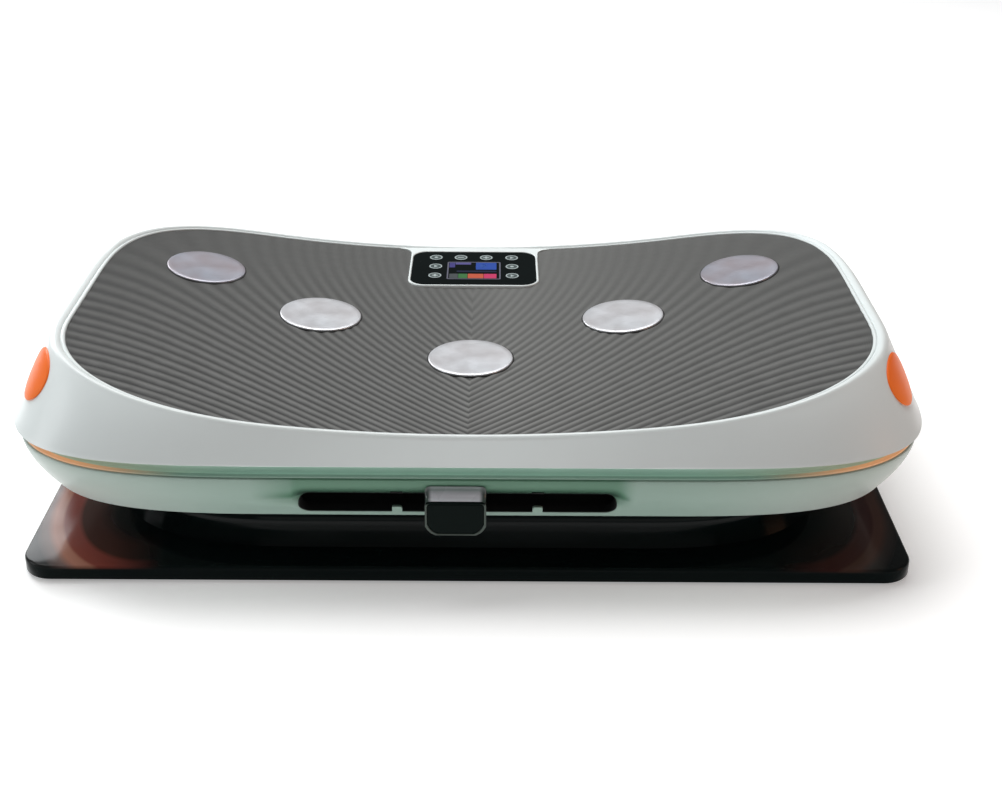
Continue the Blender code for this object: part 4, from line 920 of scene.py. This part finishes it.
def touch_mark(x, y, kind, base, top):
    """A plain touch mark: a ring round a dot, a bar, a cross or an arrowhead."""
    outer, inner = 6.4 * MM, 5.2 * MM
    rings = []
    for radius, height in ((outer, base), (outer, top), (inner, top), (inner, base)):
        rings.append(level(circle(radius, 24, (x, y)), height))
    found = [loft(rings, closed=True)]
    arm, thin = 3.0 * MM, 1.0 * MM
    bar = rounded_rectangle((x - arm, y - thin), (x + arm, y + thin), 0.4 * MM, 2)
    post = rounded_rectangle((x - thin, y - arm), (x + thin, y + arm), 0.4 * MM, 2)
    if kind == 0:
        found.append(plate(circle(2 * MM, 12, (x, y)), base, top))
    elif kind == 1:
        found.append(plate(bar, base, top))
    elif kind == 2:
        found += [plate(bar, base, top), plate(post, base, top + 0.01 * MM)]
    else:
        tip = [(x - 1.5 * MM, y - arm), (x + 2.4 * MM, y), (x - 1.5 * MM, y + arm)]
        found.append(plate(tip, base, top))
    return found


def side_lamp(side, finish):
    """Oval lens laid on the skirt, domed a little, with a rounded edge."""
    middle, half = sum(LAMP_DROP) / 2, (LAMP_DROP[1] - LAMP_DROP[0]) / 2
    spokes = 64

    def surface(share_out, angle, lift):
        along = math.radians(LAMP_ANGLE + LAMP_SPREAD * share_out * math.cos(angle))
        out, height, square = skirt_point(middle + half * share_out * math.sin(angle), -lift)
        reach = MAT_FRONT.reach_x + out[0]
        x = MAT_FRONT.x + reach * math.sin(along) ** (2 / (MAT_FRONT.power + square))
        return (side * x, float(edge_y(x, MAT_FRONT, out, square)), float(height(x)))

    turns = [math.tau * i / spokes for i in range(spokes)]
    rings = [[surface(share, turn, lift * MM) for turn in turns] for share, lift in LAMP_DOME]
    name = "side_lamp_right" if side > 0 else "side_lamp_left"
    piece(name, loft(rings, ruled=False), finish, "platform", [name], sharp=60)


# --- Housing ------------------------------------------------------------------------


def wall_out(share):
    return [top + (low - top) * share**1.5 for top, low in zip(LEDGE_OUT, LIP_OUT)]


def wall_front_y(z):
    """Y of the housing's front wall at a height, over its straight middle."""
    share = np.clip((WALL_TOP_Z - z) / (WALL_TOP_Z - LIP_Z), 0, 1)
    return MAT_FRONT.y + MAT_FRONT.reach_y - wall_out(share)[1]


def lower_shell(finish):
    """Collar, ledge and wall with the slot, the lip turned in below, and the wall's inner face."""

    def at(out, inset, height):
        return ring(inset_by(out, inset), height, SHELL_SQUARE, straight_steps=90)

    def wall(share, inset):
        return scooped(at(wall_out(share), inset, WALL_TOP_Z + (LIP_Z - WALL_TOP_Z) * share))

    floor = UNDERSIDE_Z + 2.6 * MM
    rings = [at(COLLAR_OUT, 0.0, COLLAR_TOP_Z), at(COLLAR_OUT, 0.0, LEDGE_Z + 0.8 * MM)]
    rings += [at(COLLAR_OUT, -0.3 * MM, LEDGE_Z + 0.2 * MM), at(COLLAR_OUT, -0.9 * MM, LEDGE_Z)]
    rings.append(at(LEDGE_OUT, 1.4 * MM, LEDGE_Z))
    rings += [at(LEDGE_OUT, 0.7 * MM, LEDGE_Z - 0.15 * MM), at(LEDGE_OUT, 0.2 * MM, LEDGE_Z - 0.7 * MM)]
    rings += [wall(share, 0.0) for share in np.linspace(0, 1, 44)]
    for inset, drop in ((0.3, 0.8), (0.9, 1.5), (1.8, 1.9), (3.2, 2.0)):
        rings.append(at(LIP_OUT, inset * MM, LIP_Z - drop * MM))
    rings += [at(UNDERSIDE_IN, 0.0, UNDERSIDE_Z), at(UNDERSIDE_IN, 0.0, floor), at(LIP_OUT, 5 * MM, floor)]
    rings += [wall(share, WALL) for share in np.linspace(0.88, 0.1, 22)]
    rings += [at(COLLAR_OUT, WALL, LEDGE_Z - 4 * MM), at(COLLAR_OUT, WALL, COLLAR_TOP_Z)]
    mesh = cut_mesh(loft(rings, closed=True), slot_cutter())
    points = np.empty(len(mesh.vertices) * 3)
    mesh.vertices.foreach_get("co", points)
    x, y, z = points.reshape(-1, 3).T
    # Each point holds its painted shade over the slot, for the finish to read.
    give_points(mesh, "painted_hollow_shade", np.where(y < 0, slot_shade(x, z), 0.0))
    piece("lower_shell", mesh, finish, "housing", ["lower_shell"], sharp=32)


def scoop_depth(x, z):
    """How far the front wall is drawn in round the upper half of the slot."""
    beyond = np.maximum(0, np.maximum(x - SLOT_ROUND_X[1], SLOT_ROUND_X[0] - x))
    away = np.hypot(beyond, z - SLOT_MIDDLE) - SLOT_RADIUS
    near = np.clip(1 - away / SCOOP_WIDE, 0, 1)
    above = np.clip((z - SLOT_MIDDLE) / SLOT_RADIUS + 0.4, 0, 1)
    return SCOOP * near**2 * above**2


def slot_shade(x, z):
    """Painted shade on the front wall: even over the slot, fading past its ends, and deepest in the hollow.
    """
    beyond = np.maximum(x - SLOT_X[1], SLOT_X[0] - x)
    above = np.clip((z - SLOT_Z[1]) / (4 * MM) + 1, 0, 1)
    over = above * np.clip(1 - beyond / SCOOP_WIDE, 0, 1)
    return (over + np.sqrt(scoop_depth(x, z) / SCOOP)) / 2


def scooped(points):
    front = points[:, 1] < 0
    points[:, 1] += np.where(front, scoop_depth(points[:, 0], points[:, 2]), 0)
    return points


def slot_cutter():
    """The stadium-shaped slot, less the two hooks on its sill and with a notch over each hook."""
    outline = arc(SLOT_RADIUS, (SLOT_ROUND_X[1], SLOT_MIDDLE), -90, 90, 28)
    for x in reversed(HOOK_X):
        half, notch = HOOK_WIDE / 2 + 1 * MM, SLOT_Z[1] + NOTCH_TALL
        outline += [(x + half, SLOT_Z[1]), (x + half, notch), (x - half, notch), (x - half, SLOT_Z[1])]
    outline += arc(SLOT_RADIUS, (SLOT_ROUND_X[0], SLOT_MIDDLE), 90, 270, 28)
    for x in HOOK_X:
        half, top, round_over = HOOK_WIDE / 2, SLOT_Z[0] + HOOK_TALL, 2 * MM
        outline.append((x - half, SLOT_Z[0]))
        outline += arc(round_over, (x - half + round_over, top - round_over), 180, 90, 5)
        outline += arc(round_over, (x + half - round_over, top - round_over), 90, 0, 5)
        outline.append((x + half, SLOT_Z[0]))
    return prism(*(upright(outline, y) for y in SLOT_CUT_Y))


def slot_liner(finish):
    """Black tray behind the slot, and the sleeve that leads to it from the wall."""
    low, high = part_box("slot_liner")
    low, high = low - Vector((0, SHIFT, 0)), high - Vector((0, SHIFT, 0))
    wall = 1.6 * MM
    near, far = (low.x, low.z), (high.x, high.z)

    def section(inset, y):
        return upright(rounded_rectangle([v + inset for v in near], [v - inset for v in far], 3 * MM, 6), y)

    rings = [section(1 * MM, high.y), section(0, high.y - 2 * MM), section(0, low.y)]
    rings += [section(wall, low.y), section(wall, high.y - wall - 2 * MM)]
    rings.append(section(wall + 1 * MM, high.y - wall))
    tray = loft(rings, ruled=False)
    straight = np.linspace(*SLOT_ROUND_X, 24)[1:-1]

    def sleeve(inset, at_tray):
        size = SLOT_RADIUS - inset
        outline = arc(size, (SLOT_ROUND_X[1], SLOT_MIDDLE), -90, 90, 18)
        outline += [(x, SLOT_MIDDLE + size) for x in reversed(straight)]
        outline += arc(size, (SLOT_ROUND_X[0], SLOT_MIDDLE), 90, 270, 18)
        outline += [(x, SLOT_MIDDLE - size) for x in straight]
        if at_tray:
            return upright(outline, low.y + 1 * MM)
        return [(x, wall_front_y(z) + scoop_depth(x, z) + 0.5 * MM, z) for x, z in outline]

    outer, inner = 0.05 * MM, 0.8 * MM
    rings = [sleeve(outer, False), sleeve(outer, True), sleeve(inner, True), sleeve(inner, False)]
    whole = join_meshes([tray, loft(rings, closed=True)])
    piece("slot_liner", whole, finish, "housing", ["slot_liner"])


def light_ring(finish):
    """The light strip, along the ledge's outer edge."""
    low, high = LEDGE_Z + 0.3 * MM, LEDGE_Z + 1.6 * MM
    inner, outer = inset_by(COLLAR_OUT, -5.8 * MM), inset_by(COLLAR_OUT, -9.8 * MM)
    profile = [(inner, low), (inner, high - 0.3 * MM), (inset_by(inner, -0.3 * MM), high)]
    profile += [(inset_by(outer, 0.9 * MM), high), (inset_by(outer, 0.3 * MM), high - 0.2 * MM)]
    profile += [(outer, high - 0.7 * MM), (outer, low)]
    rings = [ring(out, height, SHELL_SQUARE) for out, height in profile]
    piece("light_ring", loft(rings, closed=True), finish, "housing", ["light_ring"])


def groove_painted_light(finish):
    """Thin glowing skin over the collar and the ledge, up to the light strip: painted light in the groove's
    shade.
    """
    skin = 0.35 * MM
    corner = 1.5 * MM
    top, foot = COLLAR_TOP_Z - 0.5 * MM, LEDGE_Z + 0.06 * MM
    edge = 5.5 * MM
    outer = [(skin, top), (skin, foot + corner), (skin + 0.45 * MM, foot + skin + 0.45 * MM)]
    outer += [(skin + corner, foot + skin), (edge, foot + skin)]
    inner = [(edge, foot), (0.06 * MM, foot), (0.06 * MM, top)]
    rings = [ring(inset_by(COLLAR_OUT, -out), height, SHELL_SQUARE) for out, height in outer + inner]
    piece("groove_painted_light", loft(rings, closed=True), finish, "housing", ())


def pedestal_cover(finish):
    """Rounded skirt between base and housing, with an opening at the rear for the mains inlet."""

    def shoulder(share, inset):
        swing, fall = math.sin(share * math.pi / 2), 1 - math.cos(share * math.pi / 2)
        out = [wide + (neck - wide) * fall - inset for wide, neck in zip(PEDESTAL_OUT, PEDESTAL_NECK)]
        return ring(out, PEDESTAL_BEND_Z + (PEDESTAL_TOP_Z - PEDESTAL_BEND_Z) * swing)

    low = SLAB_TOP_Z + 0.3 * MM
    foot = inset_by(PEDESTAL_OUT, -2 * MM)
    rings = [ring(foot, low)]
    for share in (0.25, 0.5, 0.75):
        out = inset_by(PEDESTAL_OUT, -2 * MM * (1 - share) ** 2)
        rings.append(ring(out, low + (PEDESTAL_BEND_Z - low) * share))
    rings += [shoulder(share, 0.0) for share in np.linspace(0, 1, 14)]
    rings += [shoulder(share, WALL) for share in (1.0, 0.8, 0.6, 0.4, 0.2, 0.0)]
    rings.append(ring(inset_by(PEDESTAL_OUT, WALL), low))
    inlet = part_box("power_inlet")
    room = 0.6 * MM
    low = (inlet[0].x - room, INLET_CUT_Y[0], inlet[0].z - 5 * MM)
    high = (inlet[1].x + room, INLET_CUT_Y[1], inlet[1].z + room)
    mesh = cut_mesh(loft(rings, closed=True), box(low, high))
    piece("pedestal_cover", mesh, finish, "housing", ["pedestal_cover"])


def base_slab(finish):
    """The glossy tray under the pedestal, with a soft upper edge."""
    edge = 2.6 * MM
    under = SLAB_TOP_Z - SLAB_WALL
    inside = inset_by(PEDESTAL_OUT, 8 * MM)

    def slab(inset, height):
        return ring((-inset, -inset), height, 0.0, SLAB_PLAN)

    rings = [slab(0.4 * MM, FOOT_DROP), slab(0.0, FOOT_DROP + 0.6 * MM), slab(0.0, SLAB_TOP_Z - edge)]
    for angle in np.radians(np.linspace(15, 90, 6)):
        rings.append(slab(edge * (1 - math.cos(angle)), SLAB_TOP_Z - edge + edge * math.sin(angle)))
    rings += [ring(inside, SLAB_TOP_Z), ring(inside, under)]
    rings += [slab(SLAB_WALL, under), slab(SLAB_WALL, FOOT_DROP)]
    piece("base_slab", loft(rings, closed=True), finish, "housing", ["base_slab"])


# --- Remote -------------------------------------------------------------------------


def remote_outline(inset, top):
    """Front view of the remote: small round corners above, wide cut corners below."""
    left, right = REMOTE_X - REMOTE_HALF + inset, REMOTE_X + REMOTE_HALF - inset
    low, high = REMOTE_Z[0] + inset, top - inset
    small, wide = 4 * MM - inset * 0.5, 8 * MM
    cut = [(wide, 0.0), (4.6 * MM, 1.9 * MM), (1.9 * MM, 4.6 * MM), (0.0, wide)]
    outline = [(REMOTE_X, low)] + [(right - x, low + z) for x, z in cut]
    outline += arc(small, (right - small, high - small), 0, 90, 8)
    outline += arc(small, (left + small, high - small), 90, 180, 8)
    return outline + [(left + x, low + z) for x, z in reversed(cut)]


def remote(finishes):
    """Case with its hood and the tongue that goes into the slot, then the rim and the domed face."""
    front, back = REMOTE_Y
    top = REMOTE_Z[1]

    def sections(profile):
        return [upright(remote_outline(inset * MM, top), front + depth * MM) for inset, depth in profile]

    start = front + 1.8 * MM
    rings = [upright(remote_outline(inset, top), start + 0.5 * MM - inset) for inset in (0.5 * MM, 0.0)]
    for share in np.linspace(0.1, 1.0, 12):
        height = top + (REMOTE_HOOD_Z - top) * (1 - math.cos(share * math.pi / 2))
        forward = start + (back - start) * (0.06 + 0.86 * math.sin(share * math.pi / 2))
        rings.append(upright(remote_outline(0.0, height), forward))
    rings.append(upright(remote_outline(0.8 * MM, REMOTE_HOOD_Z), back))
    hood = loft(rings, ruled=False)
    low = (REMOTE_X - 15 * MM, back - 2 * MM, SLOT_Z[0] + 4 * MM)
    high = (REMOTE_X + 15 * MM, REMOTE_TONGUE_Y, SLOT_Z[1] - 5 * MM)
    case = join_meshes([hood, box(low, high)])
    piece("remote_case", case, finishes["remote_hood"], "remote", ["remote_case"])
    rim = loft(sections(REMOTE_RIM), closed=True)
    piece("remote_rim", rim, finishes["bronze"], "remote", ["remote_rim"])
    face = loft(sections(REMOTE_FACE), ruled=False)
    piece("remote_face", face, finishes["remote_black"], "remote", ["remote_face"])


# --- Stage --------------------------------------------------------------------------


def area_light(name, place, target, size, power, colour):
    light = bpy.data.lights.new(name, "AREA")
    light.shape = "RECTANGLE"
    light.size, light.size_y = size
    light.energy = power
    light.color = colour
    obj = linked(name, light)
    obj.location = place
    obj.rotation_euler = (Vector(target) - Vector(place)).to_track_quat("-Z", "Y").to_euler()


def studio_light(scene):
    """Soft light that grows from the horizon to overhead, and five large lamps."""
    world = bpy.data.worlds.new("studio")
    scene.world = world
    world.use_nodes = True
    tree = world.node_tree
    place, split = tree.nodes.new("ShaderNodeTexCoord"), tree.nodes.new("ShaderNodeSeparateXYZ")
    rise = tree.nodes.new("ShaderNodeMapRange")
    rise.interpolation_type = "SMOOTHSTEP"
    for socket, number in zip(RANGE_SOCKETS, (*WORLD_RISE, *WORLD_GLOW)):
        rise.inputs[socket].default_value = number
    background = tree.nodes["Background"]
    background.inputs["Color"].default_value = (0.985, 0.995, 1.0, 1.0)
    tree.links.new(place.outputs["Generated"], split.inputs["Vector"])
    tree.links.new(split.outputs["Z"], rise.inputs["Value"])
    tree.links.new(rise.outputs["Result"], background.inputs["Strength"])
    for lamp in STUDIO_LAMPS:
        area_light(*lamp)


def stage():
    """The light, and a wide white floor that glows a little."""
    scene = bpy.context.scene
    scene.view_settings.view_transform = "Standard"
    studio_light(scene)
    finish = Finish("floor", (0.9, 0.9, 0.9), 0.7, specular=0.1).mottle(2.0, 0.004)
    finish.glow((1.0, 1.0, 1.0), 0.3)
    half = 7.0
    floor = mesh_of([(-half, -half, 0), (half, -half, 0), (half, half, 0), (-half, half, 0)], [(0, 1, 2, 3)])
    floor.materials.append(finish.material)
    linked("floor", floor)


def camera():
    lens = bpy.data.cameras.new("camera")
    lens.sensor_width = 36.0
    lens.lens = CAMERA_LENS
    obj = linked("camera", lens)
    turn = (CAMERA_TARGET - CAMERA_PLACE).to_track_quat("-Z", "Y").to_matrix().to_4x4()
    roll = Matrix.Rotation(math.radians(CAMERA_ROLL), 4, "Z")
    obj.matrix_world = Matrix.Translation(CAMERA_PLACE) @ turn @ roll
    bpy.context.scene.camera = obj


# --- Assembly -----------------------------------------------------------------------

FINISHES = make_finishes()
stage()
camera()
SLOTS = {entry["node"]: entry["material_slot"] for entry in frame["record"]["subparts"]}
for node_name, node in frame["nodes"].items():
    node_finish = FINISHES.get(SLOTS[node_name])
    if node_finish:
        node.data.materials.clear()
        node.data.materials.append(node_finish.material)

upper_shell(FINISHES["white_shell"])
deck_mat(FINISHES["mat_grey"])
massage_discs(FINISHES["satin_disc"], FINISHES["shaded_outer_disc"], FINISHES["foot_rubber"])
control_panel(FINISHES)
lamp = lamp_finish()
for lamp_side in (-1, 1):
    side_lamp(lamp_side, lamp)
lower_shell(FINISHES["pale_shell"])
slot_liner(FINISHES["black_plastic"])
light_ring(light_strip_finish())
groove_painted_light(groove_painted_light_finish())
pedestal_cover(FINISHES["gloss_black"])
base_slab(slab_finish())
remote(FINISHES)
